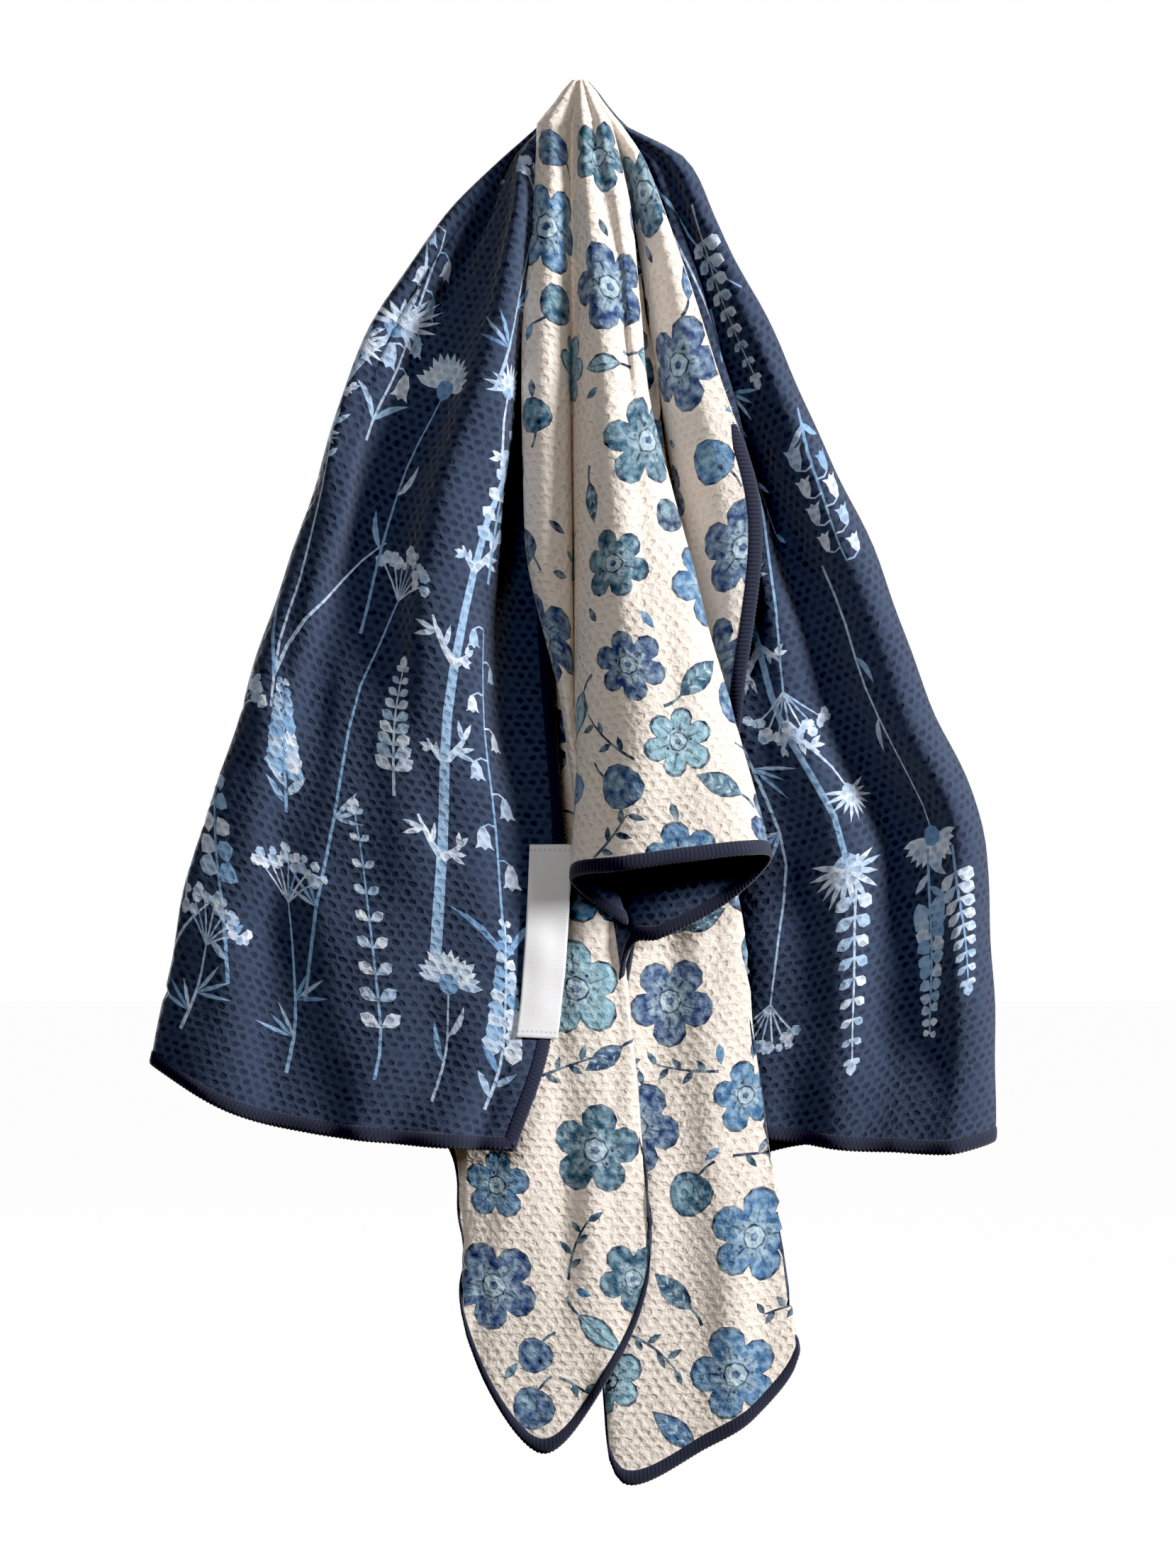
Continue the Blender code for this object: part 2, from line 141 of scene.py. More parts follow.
def smooth_curve(knots, values, at):
    """Read a curve through the knots at many places, without overshooting its values."""
    knots, values = np.asarray(knots, float), np.asarray(values, float)
    step = np.diff(knots)
    rise = np.diff(values) / step
    slope = np.concatenate([rise[:1], np.zeros(len(rise) - 1), rise[-1:]])
    for i in range(1, len(rise)):
        if rise[i - 1] * rise[i] > 0:
            before, after = 2 * step[i] + step[i - 1], step[i] + 2 * step[i - 1]
            slope[i] = (before + after) / (before / rise[i - 1] + after / rise[i])
    k = np.clip(np.searchsorted(knots, at) - 1, 0, len(step) - 1)
    t = (at - knots[k]) / step[k]
    level = values[k] * (2 * t**3 - 3 * t**2 + 1) + values[k + 1] * (3 * t**2 - 2 * t**3)
    return level + step[k] * (slope[k] * (t**3 - 2 * t**2 + t) + slope[k + 1] * (t**3 - t**2))


def fold_line(fold, levels):
    """Points (x, f, drop) down one fold line at these levels."""
    lines = []
    for axis, drops, hem in (("x", X_DROPS, fold.hem_x), ("f", F_DROPS, fold.hem_f)):
        kept = [drop for drop in drops if drop < fold.hem_drop - CLEAR_OF_HEM]
        values = [getattr(fold, f"{axis}{drop:.0f}") for drop in kept]
        lines.append((kept + [fold.hem_drop], values + [hem]))
    below = np.maximum(levels - NECK_DROP, 0) / (NOMINAL_DROP - NECK_DROP)
    drops = np.where(levels < NECK_DROP, levels, NECK_DROP + below * (fold.hem_drop - NECK_DROP))
    share = np.interp(levels, *zip(*CROWN_SHAPE))
    x, f = (smooth_curve(*line, np.maximum(drops, NECK_DROP)) for line in lines)
    return np.stack([x * share, CROWN_CENTRE_F + (f - CROWN_CENTRE_F) * share, drops], axis=1)


def between_folds(lines, splits):
    """Centripetal Catmull-Rom curves through each row of fold points, with this many steps to each gap."""
    before, after = 2 * lines[:, :1] - lines[:, 1:2], 2 * lines[:, -1:] - lines[:, -2:-1]
    padded = np.concatenate([before, lines, after], axis=1)
    columns = [lines[:, 0]]
    for i in range(1, padded.shape[1] - 2):
        p = [padded[:, i + k] for k in (-1, 0, 1, 2)]
        spans = [np.maximum(np.linalg.norm(p[k + 1] - p[k], axis=1), 1e-3)[:, None] ** 0.5 for k in range(3)]
        t0, t1 = 0.0, spans[0]
        t2, t3 = t1 + spans[1], t1 + spans[1] + spans[2]
        for step in range(1, splits + 1):
            t = t1 + (t2 - t1) * step / splits
            a1 = (p[0] * (t1 - t) + p[1] * (t - t0)) / (t1 - t0)
            a2 = (p[1] * (t2 - t) + p[2] * (t - t1)) / (t2 - t1)
            a3 = (p[2] * (t3 - t) + p[3] * (t - t2)) / (t3 - t2)
            b1 = (a1 * (t2 - t) + a2 * (t - t0)) / (t2 - t0)
            b2 = (a2 * (t3 - t) + a3 * (t - t1)) / (t3 - t1)
            columns.append((b1 * (t2 - t) + b2 * (t - t1)) / (t2 - t1))
    return np.stack(columns, axis=1)


def unit(vectors):
    """The same vectors with a length of 1."""
    return vectors / np.maximum(np.linalg.norm(vectors, axis=-1, keepdims=True), 1e-9)


def grid_normals(grid):
    """The way off the dark side at every point of a grid."""
    return unit(np.cross(np.gradient(grid, axis=1), np.gradient(grid, axis=0)))


crown_levels = np.linspace(TOP_LEVEL, NECK_DROP, CROWN_ROWS)[:-1]
hanging_levels = NECK_DROP + (NOMINAL_DROP - NECK_DROP) * np.linspace(0, 1, FINE_ROWS) ** CLOSER_AT_NECK
levels = np.concatenate([crown_levels, hanging_levels])
drape = between_folds(np.stack([fold_line(fold, levels) for fold in FOLDS], axis=1), FINE_SPLITS)
normals = grid_normals(drape)
runs = np.cumsum(np.linalg.norm(np.diff(drape, axis=1), axis=2), axis=1)
runs = np.concatenate([np.zeros((len(levels), 1)), runs], axis=1)
falls = np.cumsum(np.linalg.norm(np.diff(drape, axis=0), axis=2), axis=0)
falls = np.concatenate([np.zeros((1, drape.shape[1])), falls], axis=0) + TOP_LEVEL

# A place on the cloth is (run, level): the run adds up the greatest width of every strip between two fine
# columns
strip_runs = np.concatenate([[0.0], np.cumsum(np.diff(runs, axis=1).max(axis=0))])
cloth_run = strip_runs[-1]


def waves(table):
    """The sum of waves (length across, length down, height, phase), which fan out from the neck."""
    return sum(
        height * np.sin(2 * math.pi * (strip_runs / across + falls / down) + phase)
        for across, down, height, phase in table
    )


fold_numbers = np.arange(drape.shape[1]) / FINE_SPLITS
relief = waves(CREASE_WAVES) * np.interp(fold_numbers, CREASES_AT, CREASES_SHARE)
relief += waves(SOFT_FOLDS) * np.interp(fold_numbers, SOFT_FOLDS_AT, SOFT_FOLDS_SHARE)
relief *= np.clip((falls - RELIEF_FROM) / RELIEF_GROWS_OVER, 0, 1)
drape = drape + normals * relief[:, :, None]
normals = grid_normals(drape)


def read_grid(field, columns, rows):
    """Values of a fine grid at fractional columns and rows."""
    c = np.clip(np.floor(columns).astype(int), 0, field.shape[1] - 2)
    r = np.clip(np.floor(rows).astype(int), 0, field.shape[0] - 2)
    s, t = columns - c, rows - r
    if field.ndim == 3:
        s, t = s[:, None], t[:, None]
    upper = field[r, c] * (1 - s) + field[r, c + 1] * s
    lower = field[r + 1, c] * (1 - s) + field[r + 1, c + 1] * s
    return upper * (1 - t) + lower * t


def grid_place(places):
    """Fractional columns and rows of places (run, level)."""
    columns = np.interp(places[:, 0], strip_runs, np.arange(len(strip_runs)))
    return columns, np.interp(places[:, 1], levels, np.arange(len(levels)))


def on_cloth(places, lift):
    """World points of places on the cloth, lifted off its middle surface."""
    columns, rows = grid_place(places)
    off = unit(read_grid(normals, columns, rows))
    points = read_grid(drape, columns, rows) + off * np.reshape(lift, (-1, 1))
    return points * np.array([MM, -MM, -MM])


# The cloth's panels
# Between its sharp folds the cloth is a few smooth panels. Each is measured in millimetres from its middle
# fold line, across and down, which is how its weave and its print lie on it.
Panel = namedtuple("Panel", "name first middle last")
PANELS = (
    Panel("wing_left", 0, 3, 6.2),
    Panel("back_left", 6.2, 9, 11.2),
    Panel("tail_left", 11.2, 12.5, 14.3),
    Panel("pleat", 14.3, 15.5, 17),
    Panel("ridge", 17, 19, 21),
    Panel("column", 21, 24, 26.3),
    Panel("behind_column", 26.3, 28, 30.2),
    Panel("tail_right", 30.2, 32.5, 34.4),
    Panel("turn", 34.4, 35.2, 36),
    Panel("back_right", 36, 38, 40),
    Panel("wing_right", 40, 42.5, 45),
    Panel("lapel", 45, 46.5, 48),
)


# The same cloth measured across at even depths, a depth being the length down from the hang point. Below a
# short hem the cloth is thought to go straight on, so that the measure stays even beside the long tails.
DEPTH_STEP = 2.0
depths = np.arange(0.0, falls.max() + 3 * DEPTH_STEP, DEPTH_STEP)
row_numbers = np.arange(len(levels))
last_steps = falls[-1] - falls[-2]
depth_rows = np.stack(
    [
        np.interp(depths, fall, row_numbers) + np.maximum(depths - fall[-1], 0) / last_step
        for fall, last_step in zip(falls.T, last_steps)
    ],
    axis=1,
)
every_column = np.broadcast_to(np.arange(drape.shape[1]), depth_rows.shape)
at_depths = read_grid(drape, every_column.ravel(), depth_rows.ravel()).reshape(*depth_rows.shape, 3)
depth_runs = np.cumsum(np.linalg.norm(np.diff(at_depths, axis=1), axis=2), axis=1)
depth_runs = np.concatenate([np.zeros((len(depths), 1)), depth_runs], axis=1)


def run_at(down):
    """The lengths across to every fine column at one depth."""
    row = min(down / DEPTH_STEP, len(depths) - 1.001)
    r = int(row)
    return depth_runs[r] * (1 - row + r) + depth_runs[r + 1] * (row - r)


def panel_place(panel, points):
    """Places (run, level) of points given across and down a panel, in millimetres."""
    points = np.asarray(points, float)
    middle = int(panel.middle * FINE_SPLITS)
    columns = []
    for across, down in points:
        run = run_at(down)
        columns.append(np.interp(run[middle] + across, run, np.arange(len(run))))
    columns = np.array(columns)
    rows = read_grid(depth_rows, columns, points[:, 1] / DEPTH_STEP)
    past_hem = np.maximum(rows - row_numbers[-1], 0) * (levels[-1] - levels[-2])
    places = np.interp(columns, np.arange(len(strip_runs)), strip_runs)
    return np.stack([places, np.interp(rows, row_numbers, levels) + past_hem], axis=1)


def panel_width(panel, down):
    """How far a panel reaches to either side of its middle fold line at this depth."""
    run = run_at(down)
    first, middle, last = (run[int(fold * FINE_SPLITS)] for fold in (panel.first, panel.middle, panel.last))
    return first - middle, last - middle


# The print's inks and its drawing tools
# Both sides are printed. Each motif is drawn as filled outlines in its own millimetres, x to the right and
# y up from its foot, and is then laid on a panel of the cloth. The motifs and their layout are this script's
# own.
def screen_colour(red, green, blue):
    """Linear colour of a screen colour given from 0 to 255."""
    return tuple(((c / 255 + 0.055) / 1.055) ** 2.4 for c in (red, green, blue))


def between(first, second, share):
    """A colour at a share of the way from the first to the second."""
    return tuple(a + (b - a) * share for a, b in zip(first, second))


class Motif:
    """Filled outlines with their inks, the later ones on top."""

    def __init__(self):
        self.shapes = []

    def fill(self, outline, ink):
        self.shapes.append((np.array(outline, float), ink))

    def blot(self, x, y, radius, ink, corners=8, lobes=3, uneven=0.06, turn=0.0):
        """A round shape with a slightly uneven rim."""
        outline = []
        for k in range(corners):
            angle = 2 * math.pi * k / corners + turn
            reach = radius * (1 + uneven * math.cos(lobes * angle + 3 * x + y))
            outline.append((x + reach * math.cos(angle), y + reach * math.sin(angle)))
        self.fill(outline, ink)

    def leaf(self, x, y, angle, length, width, ink, corners=4, widest=0.45, bend=0.0):
        """A pointed leaf from its foot, at an angle in degrees from straight up."""
        sides = ([], [])
        for k in range(corners + 2):
            along = k / (corners + 1)
            swell = math.sin(math.pi * along ** (math.log(0.5) / math.log(widest)))
            turn = math.radians(angle + bend * along)
            for side, sign in zip(sides, (-1, 1)):
                across = sign * swell * width / 2
                side.append(
                    (
                        x + length * along * math.sin(turn) + across * math.cos(turn),
                        y + length * along * math.cos(turn) - across * math.sin(turn),
                    )
                )
        self.fill(sides[0] + sides[1][-2:0:-1], ink)

    def stroke(self, path, first_width, last_width, ink):
        """A brush stroke along a path, tapering from its first width to its last."""
        path = np.array(path, float)
        ahead = np.gradient(path, axis=0)
        square = np.stack([-ahead[:, 1], ahead[:, 0]], axis=1) / np.linalg.norm(ahead, axis=1)[:, None]
        half = np.linspace(first_width, last_width, len(path))[:, None] / 2
        self.fill(np.concatenate([path + square * half, (path - square * half)[::-1]]), ink)


def arc(x, y, angle, length, bend, points=5):
    """A path from a foot, at an angle in degrees from straight up, that turns by bend degrees on its way."""
    path = [(x, y)]
    step = length / (points - 1)
    for k in range(points - 1):
        turn = math.radians(angle + bend * (k + 0.5) / (points - 1))
        path.append((path[-1][0] + step * math.sin(turn), path[-1][1] + step * math.cos(turn)))
    return path


# The dark side's print
# Meadow plants in white and light blue stand on a navy ground, all growing along the cloth's length, so that
# they hang heads down on the right half of the towel.
CHALK = screen_colour(236, 242, 250)
SKY = screen_colour(150, 188, 224)
HAZE = screen_colour(96, 138, 188)


def meadow_ink(draw, low=0.0, high=1.0):
    """An ink between chalk white and light blue, with now and then a deeper one."""
    share = draw.uniform(low, high)
    return between(CHALK, SKY, share / 0.6) if share < 0.6 else between(SKY, HAZE, (share - 0.6) / 0.4)


def meadow_stem(draw, height, width, points=12):
    """A motif with one wavering stem, and the stem's path."""
    motif = Motif()
    path = arc(0, 0, draw.uniform(-4, 4), height, draw.uniform(-9, 9), points)
    motif.stroke(path, width, width * 0.45, meadow_ink(draw, 0.2, 0.7))
    return motif, path


def burr(draw, height):
    """A tall stem with forked, toothed side leaves and round spiky heads."""
    motif, path = meadow_stem(draw, height, 4.2, 14)
    for k in range(2, 11, 2):
        x, y = path[k]
        side = 1 if k % 4 else -1
        for turn, share in ((48 * side, 1.0), (-62 * side, 0.62)):
            reach = share * draw.uniform(17, 25) * (1 - k / 24)
            tip = arc(x, y, turn, reach, -turn * 0.6, 4)
            motif.stroke(tip, 3.2, 0.8, meadow_ink(draw, 0.0, 0.5))
            for spike in (-55, -20, 25, 60):
                foot = tip[1 + (spike > 0)]
                motif.leaf(*foot, turn + spike, reach * 0.5, 2.1, meadow_ink(draw, 0.0, 0.4), 2)
    for k, size in ((13, 1.0), (10, 0.7)):
        x, y = path[k]
        if k == 10:
            shoot = arc(x, y, 38, height * 0.13, -34, 4)
            motif.stroke(shoot, 1.3, 0.9, meadow_ink(draw, 0.2, 0.6))
            x, y = shoot[-1]
        motif.blot(x, y + 3 * size, 5.6 * size, meadow_ink(draw, 0.3, 0.8), 9)
        for spike in range(-110, 111, 20):
            reach = draw.uniform(12, 16) * size
            motif.leaf(x, y + 3 * size, spike, reach, 2.4 * size, meadow_ink(draw, 0.0, 0.4), 2)
    return motif


def umbel(draw, height):
    """A stem whose top fans out in rays, each with a cluster of small flowers."""
    motif, path = meadow_stem(draw, height, 1.5, 10)
    for k, side in ((2, 1), (4, -1)):
        for spread in (30, 55, 80):
            motif.leaf(*path[k], side * spread, draw.uniform(10, 17), 1.6, meadow_ink(draw, 0.3, 0.9), 2)
    x, y = path[-1]
    for ray in range(-62, 63, 18):
        shoot = arc(x, y, ray * 0.8, draw.uniform(13, 17), ray * 0.25, 3)
        motif.stroke(shoot, 0.8, 0.6, meadow_ink(draw, 0.1, 0.6))
        for _ in range(5):
            spot = (shoot[-1][0] + draw.uniform(-3.0, 3.0), shoot[-1][1] + draw.uniform(-2.0, 2.2))
            motif.blot(*spot, draw.uniform(1.3, 2.1), meadow_ink(draw, 0.0, 0.5), 6)
    return motif


def bells(draw, height):
    """An arching stem with drooping bell flowers along one side."""
    motif, path = meadow_stem(draw, height, 1.2, 12)
    for k in range(4, 12):
        x, y = path[k]
        side = 1 if k % 2 else -1
        shoot = arc(x, y, side * 60, 5.5, side * 75, 3)
        motif.stroke(shoot, 0.7, 0.6, meadow_ink(draw, 0.2, 0.6))
        size = draw.uniform(1.0, 1.35) * (1.2 - k / 22)
        bx, by = shoot[-1]
        ink = meadow_ink(draw, 0.0, 0.7)
        bell = ((-0.8, 0), (0.8, 0), (2.2, -2.6), (2.4, -5.6), (3.4, -7.2), (1.2, -6.5), (0, -7.6))
        bell += ((-1.2, -6.5), (-3.4, -7.2), (-2.4, -5.6), (-2.2, -2.6))
        motif.fill([(bx + size * a, by + size * b) for a, b in bell], ink)
    for side in (-1, 1):
        motif.leaf(*path[1], side * 28, height * 0.2, 2.6, meadow_ink(draw, 0.3, 0.9), 3, bend=side * 20)
    return motif


def spire(draw, height):
    """A stem with small flowers stacked in pairs, each pair smaller than the one below."""
    motif, path = meadow_stem(draw, height, 1.4, 16)
    for k in range(5, 16):
        x, y = path[k]
        size = 5.0 * (1.25 - k / 16)
        for side in (-1, 1):
            ink = meadow_ink(draw, 0.0, 0.75)
            motif.blot(x + side * size * 0.85, y + draw.uniform(-0.6, 0.6), size * 0.8, ink, 7, 3, 0.14)
    for k, side in ((1, 1), (2, -1), (3, 1)):
        motif.leaf(*path[k], side * 48, draw.uniform(9, 14), 3.0, meadow_ink(draw, 0.3, 0.9), 3)
    return motif


def grass(draw, height):
    """A long thin stalk with alternate seeds near its top, and two blades at its foot."""
    motif, path = meadow_stem(draw, height, 1.0, 16)
    for k in range(8, 16):
        side = 1 if k % 2 else -1
        motif.leaf(*path[k], side * 32, draw.uniform(5, 8), 1.9, meadow_ink(draw, 0.1, 0.8), 2)
    for side in (-1, 1):
        blade = arc(*path[1], side * 12, height * 0.42, side * 26, 7)
        motif.stroke(blade, 1.5, 0.5, meadow_ink(draw, 0.3, 0.9))
    return motif


def daisy(draw, height):
    """A daisy seen from the side, with petals fanned over a small cup."""
    motif, path = meadow_stem(draw, height, 1.2, 10)
    x, y = path[-1]
    for petal in range(-84, 85, 14):
        motif.leaf(x, y, petal, draw.uniform(11, 14), 3.2, meadow_ink(draw, 0.0, 0.35), 3, 0.65)
    motif.blot(x, y, 3.8, meadow_ink(draw, 0.6, 1.0), 8)
    for k, side in ((3, 1), (5, -1)):
        reach = draw.uniform(11, 16)
        motif.leaf(*path[k], side * 42, reach, 2.4, meadow_ink(draw, 0.2, 0.8), 3, bend=-20 * side)
    return motif


def leaflets(draw, height):
    """A sprig with round paired leaflets."""
    motif, path = meadow_stem(draw, height, 1.2, 11)
    for k in range(2, 11):
        for side in (-1, 1):
            reach = 8.5 * (1.15 - k / 14)
            motif.leaf(*path[k], side * 58, reach, reach * 0.62, meadow_ink(draw, 0.0, 0.5), 3, 0.6)
    motif.leaf(*path[-1], 0, 6, 4, meadow_ink(draw, 0.0, 0.5), 3, 0.6)
    return motif


# Where the plants of the two front wings stand: across and down a panel at the foot, then height and lean
Plant = namedtuple("Plant", "panel plant across down height lean")
FRONT_PLANTS = (
    Plant("wing_left", burr, -4, 322, 228, -2),
    Plant("wing_left", umbel, 44, 346, 150, -9),
    Plant("wing_left", spire, 74, 350, 112, 3),
    Plant("wing_left", leaflets, 14, 368, 92, 4),
    Plant("wing_left", grass, 58, 252, 168, -5),
    Plant("wing_left", daisy, 92, 330, 118, 3),
    Plant("wing_left", bells, -30, 330, 128, 5),
    Plant("wing_left", daisy, 26, 214, 92, -3),
    Plant("wing_left", umbel, 62, 196, 84, 4),
    Plant("wing_left", leaflets, -24, 186, 74, 6),
    Plant("wing_left", bells, 40, 150, 78, 2),
    Plant("wing_left", spire, -27, 371, 66, -7),
    Plant("wing_left", grass, 101, 353, 70, -12),
    Plant("wing_right", burr, 26, 84, 214, 3),
    Plant("wing_right", umbel, -6, 96, 138, -2),
    Plant("wing_right", daisy, -22, 196, 104, 2),
    Plant("wing_right", grass, 8, 30, 150, 4),
    Plant("wing_right", bells, 52, 214, 124, -3),
    Plant("wing_right", spire, -26, 304, 66, 3),
    Plant("wing_right", leaflets, 6, 296, 72, -5),
    Plant("wing_right", daisy, 40, 116, 84, 6),
    Plant("wing_right", leaflets, -12, 60, 64, 2),
    Plant("wing_right", grass, 64, 300, 70, 5),
    Plant("wing_right", umbel, 30, 232, 110, -4),
    Plant("wing_right", daisy, 66, 190, 92, 3),
    Plant("wing_left", umbel, -6, 120, 70, -3),
    Plant("wing_left", daisy, 40, 96, 58, 5),
    Plant("wing_left", umbel, 46, 374, 60, 6),
    Plant("wing_left", daisy, -8, 373, 42, -4),
    Plant("wing_right", leaflets, -38, 306, 50, 0),
    Plant("wing_right", bells, -31, 142, 56, 3),
    Plant("wing_left", leaflets, 10, 268, 44, -2),
    Plant("wing_left", spire, 52, 284, 42, 4),
    Plant("wing_left", umbel, 88, 371, 32, -6),
)

# On the back and the tails the plants stand in bands from the hem up, each a little out of line
PLANTS = (umbel, grass, burr, daisy, spire, bells, leaflets)
BACK_PANELS = ("back_left", "tail_left", "tail_right", "back_right")
BACK_SPACING, BACK_STEP = 32.0, 118.0
BACK_TOP, CLEAR_OF_TOP, ABOVE_HEM = 130.0, 60.0, 12.0
BACK_HEIGHTS = (70.0, 125.0)
OUT_OF_LINE_ACROSS, OUT_OF_LINE_DOWN, BACK_LEAN = 3.0, 34.0, 6.0
GROWS_OUTWARDS_FROM = 24


def laid_on(panel, motif, across, down, lean, outwards):
    """A motif's outlines as places on the cloth, with its foot on the panel and its head up the cloth."""
    turn = math.radians(lean)
    sign = 1 if outwards else -1
    laid = []
    for outline, ink in motif.shapes:
        x = outline[:, 0] * math.cos(turn) + outline[:, 1] * math.sin(turn)
        y = outline[:, 1] * math.cos(turn) - outline[:, 0] * math.sin(turn)
        laid.append((panel_place(panel, np.stack([across - sign * x, down + sign * y], axis=1)), ink))
    return laid


def meadow_print():
    """The outlines and inks of every plant on the dark side, as places on the cloth."""
    draw = random.Random(7)
    panels = {panel.name: panel for panel in PANELS}
    shapes = []
    for plant in FRONT_PLANTS:
        panel = panels[plant.panel]
        outwards = panel.middle > GROWS_OUTWARDS_FROM
        motif = plant.plant(draw, plant.height)
        shapes += laid_on(panel, motif, plant.across, plant.down, plant.lean, outwards)
    for name in BACK_PANELS:
        panel = panels[name]
        outwards = panel.middle > GROWS_OUTWARDS_FROM
        down, turn = falls[-1, int(panel.middle * FINE_SPLITS)] - ABOVE_HEM, 0
        while down > BACK_TOP:
            first, last = panel_width(panel, down - BACK_STEP / 2)
            count = max(1, round((last - first) / BACK_SPACING))
            for k in range(count):
                across = first + (last - first) * (k + 0.5) / count
                across += draw.uniform(-OUT_OF_LINE_ACROSS, OUT_OF_LINE_ACROSS)
                foot = down - draw.uniform(0, OUT_OF_LINE_DOWN)
                height = min(draw.uniform(*BACK_HEIGHTS), foot - CLEAR_OF_TOP)
                motif = PLANTS[(turn + 3 * k) % len(PLANTS)](draw, height)
                foot = foot - height if outwards else foot
                shapes += laid_on(panel, motif, across, foot, draw.uniform(-BACK_LEAN, BACK_LEAN), outwards)
            down -= BACK_STEP
            turn += 2
    return shapes


# The pale side's print
# Watercolour blossoms, round berries and small leaves, each with an indigo outline, lie scattered over a
# cream ground. Bigger motifs are set down first and smaller ones fill in between them.
INDIGO = screen_colour(22, 36, 72)
DENIM = screen_colour(36, 74, 136)
POOL = screen_colour(72, 130, 184)
TEAL = screen_colour(38, 98, 124)
FROST = screen_colour(150, 198, 214)
PALE_PETAL = screen_colour(196, 222, 234)
# Round one petal from the dip beside it: how far round it, and how far out
PETAL_SHAPE = ((0.0, 0.62), (0.11, 0.84), (0.29, 0.98), (0.5, 1.03), (0.71, 0.98), (0.89, 0.84))
BLOSSOM_REACH, GREAT_REACH = 12.6, 16.5
OUTLINE_WIDTH = 1.1


def petals(draw, reach, count):
    """A lobed outline with this many petals."""
    outline, start = [], draw.uniform(0, 360)
    for k in range(count):
        long_one = reach * draw.uniform(0.92, 1.05)
        for part, share in PETAL_SHAPE:
            turn = math.radians(start + 360 * (k + part) / count)
            outline.append((long_one * share * math.cos(turn), long_one * share * math.sin(turn)))
    return np.array(outline)


def blossom(draw, reach=BLOSSOM_REACH):
    """A blossom with a vein in each petal, an eye and a ring of stamens."""
    motif, eye = Motif(), reach / BLOSSOM_REACH
    ink = draw.choice((DENIM, DENIM, POOL, TEAL, DENIM, FROST))
    outline = petals(draw, reach, draw.choice((5, 5, 6)))
    motif.fill(outline, INDIGO)
    motif.fill(outline * (1 - OUTLINE_WIDTH / reach), ink)
    motif.fill(outline[::2] * draw.uniform(0.5, 0.62), between(ink, PALE_PETAL, 0.45))
    for k in range(3, len(outline), len(PETAL_SHAPE)):
        motif.stroke([outline[k] * 0.3, outline[k] * 0.8], 0.9, 0.4, between(ink, INDIGO, 0.55))
    motif.blot(0, 0, 3.6 * eye, INDIGO, 8)
    motif.blot(0, 0, 3.0 * eye, PALE_PETAL, 8)
    motif.blot(0, 0, 1.3 * eye, DENIM, 5)
    for k in range(7):
        turn = 2 * math.pi * k / 7
        motif.blot(4.6 * eye * math.cos(turn), 4.6 * eye * math.sin(turn), 0.6 * eye, INDIGO, 4)
    return motif


def great_blossom(draw):
    return blossom(draw, GREAT_REACH)


def berry(draw):
    """A round berry with a pale highlight, a dark tip and a stalk."""
    motif = Motif()
    ink = draw.choice((DENIM, INDIGO, POOL, TEAL))
    size = draw.uniform(0.75, 1.0)
    motif.stroke(arc(0, 0, draw.uniform(0, 360), 15 * size, 50), 1.1, 0.9, INDIGO)
    motif.blot(0, 0, 8.2 * size, INDIGO, 12)
    motif.blot(0, 0, 7.5 * size, between(ink, POOL, 0.15), 12)
    motif.blot(-1.8 * size, 1.8 * size, 3.4 * size, between(ink, FROST, 0.5), 9)
    motif.blot(2.6 * size, -3.0 * size, 1.2 * size, INDIGO, 5)
    return motif


def veined_leaf(draw):
    """A leaf with a rib, three pairs of veins and a stalk, centred on its spot."""
    motif = Motif()
    ink = draw.choice((TEAL, POOL, FROST, DENIM, TEAL))
    turn, reach = draw.uniform(0, 360), draw.uniform(15, 21)
    way = (math.sin(math.radians(turn)), math.cos(math.radians(turn)))
    foot = (-0.4 * reach * way[0], -0.4 * reach * way[1])
    motif.stroke(arc(*foot, turn + 180, reach * 0.35, 30), 1.0, 1.3, INDIGO)
    motif.leaf(*foot, turn, reach, reach * 0.46, INDIGO, 4)
    inner = (foot[0] + way[0], foot[1] + way[1])
    motif.leaf(*inner, turn, reach - 2.0, reach * 0.46 - 2.0, ink, 4)
    rib = arc(*foot, turn, reach * 0.86, 0, 5)
    for k in (1, 2, 3):
        for side in (-1, 1):
            motif.leaf(*rib[k], turn + side * 42, reach * 0.19, 1.0, between(ink, PALE_PETAL, 0.8), 1)
    motif.stroke([rib[0], rib[-1]], 0.8, 0.5, between(ink, INDIGO, 0.7))
    return motif


def twig(draw):
    """A curved twig with small leaves on alternate sides, centred on its spot."""
    motif = Motif()
    turn, reach = draw.uniform(0, 360), draw.uniform(20, 26)
    foot = (-0.5 * reach * math.sin(math.radians(turn)), -0.5 * reach * math.cos(math.radians(turn)))
    path = arc(*foot, turn, reach, draw.uniform(-40, 40), 6)
    motif.stroke(path, 1.1, 0.7, INDIGO)
    for k in range(1, 6):
        side = 1 if k % 2 else -1
        length = draw.uniform(5, 7)
        ink = between(INDIGO, TEAL, draw.random() * 0.6)
        motif.leaf(*path[k], turn + side * 50, length, 2.6, ink, 2)
    return motif


def leaf_dot(draw):
    """One small loose leaf."""
    motif = Motif()
    motif.leaf(0, 0, draw.uniform(0, 360), draw.uniform(5.5, 8), 3.2, draw.choice((INDIGO, TEAL, POOL)), 3)
    return motif


# Each kind of motif with the room that it takes and how many times it is tried on each panel. Where the pale
# side is turned inwards, only the three biggest kinds are set down.
SCATTER = (
    (great_blossom, 18.5, 14),
    (blossom, 14.2, 40),
    (berry, 9.0, 50),
    (veined_leaf, 8.2, 320),
    (twig, 7.4, 320),
    (leaf_dot, 4.2, 260),
)
INWARDS = ("wing_left", "back_left", "pleat", "behind_column", "turn", "back_right", "wing_right")
INWARD_KINDS = 3
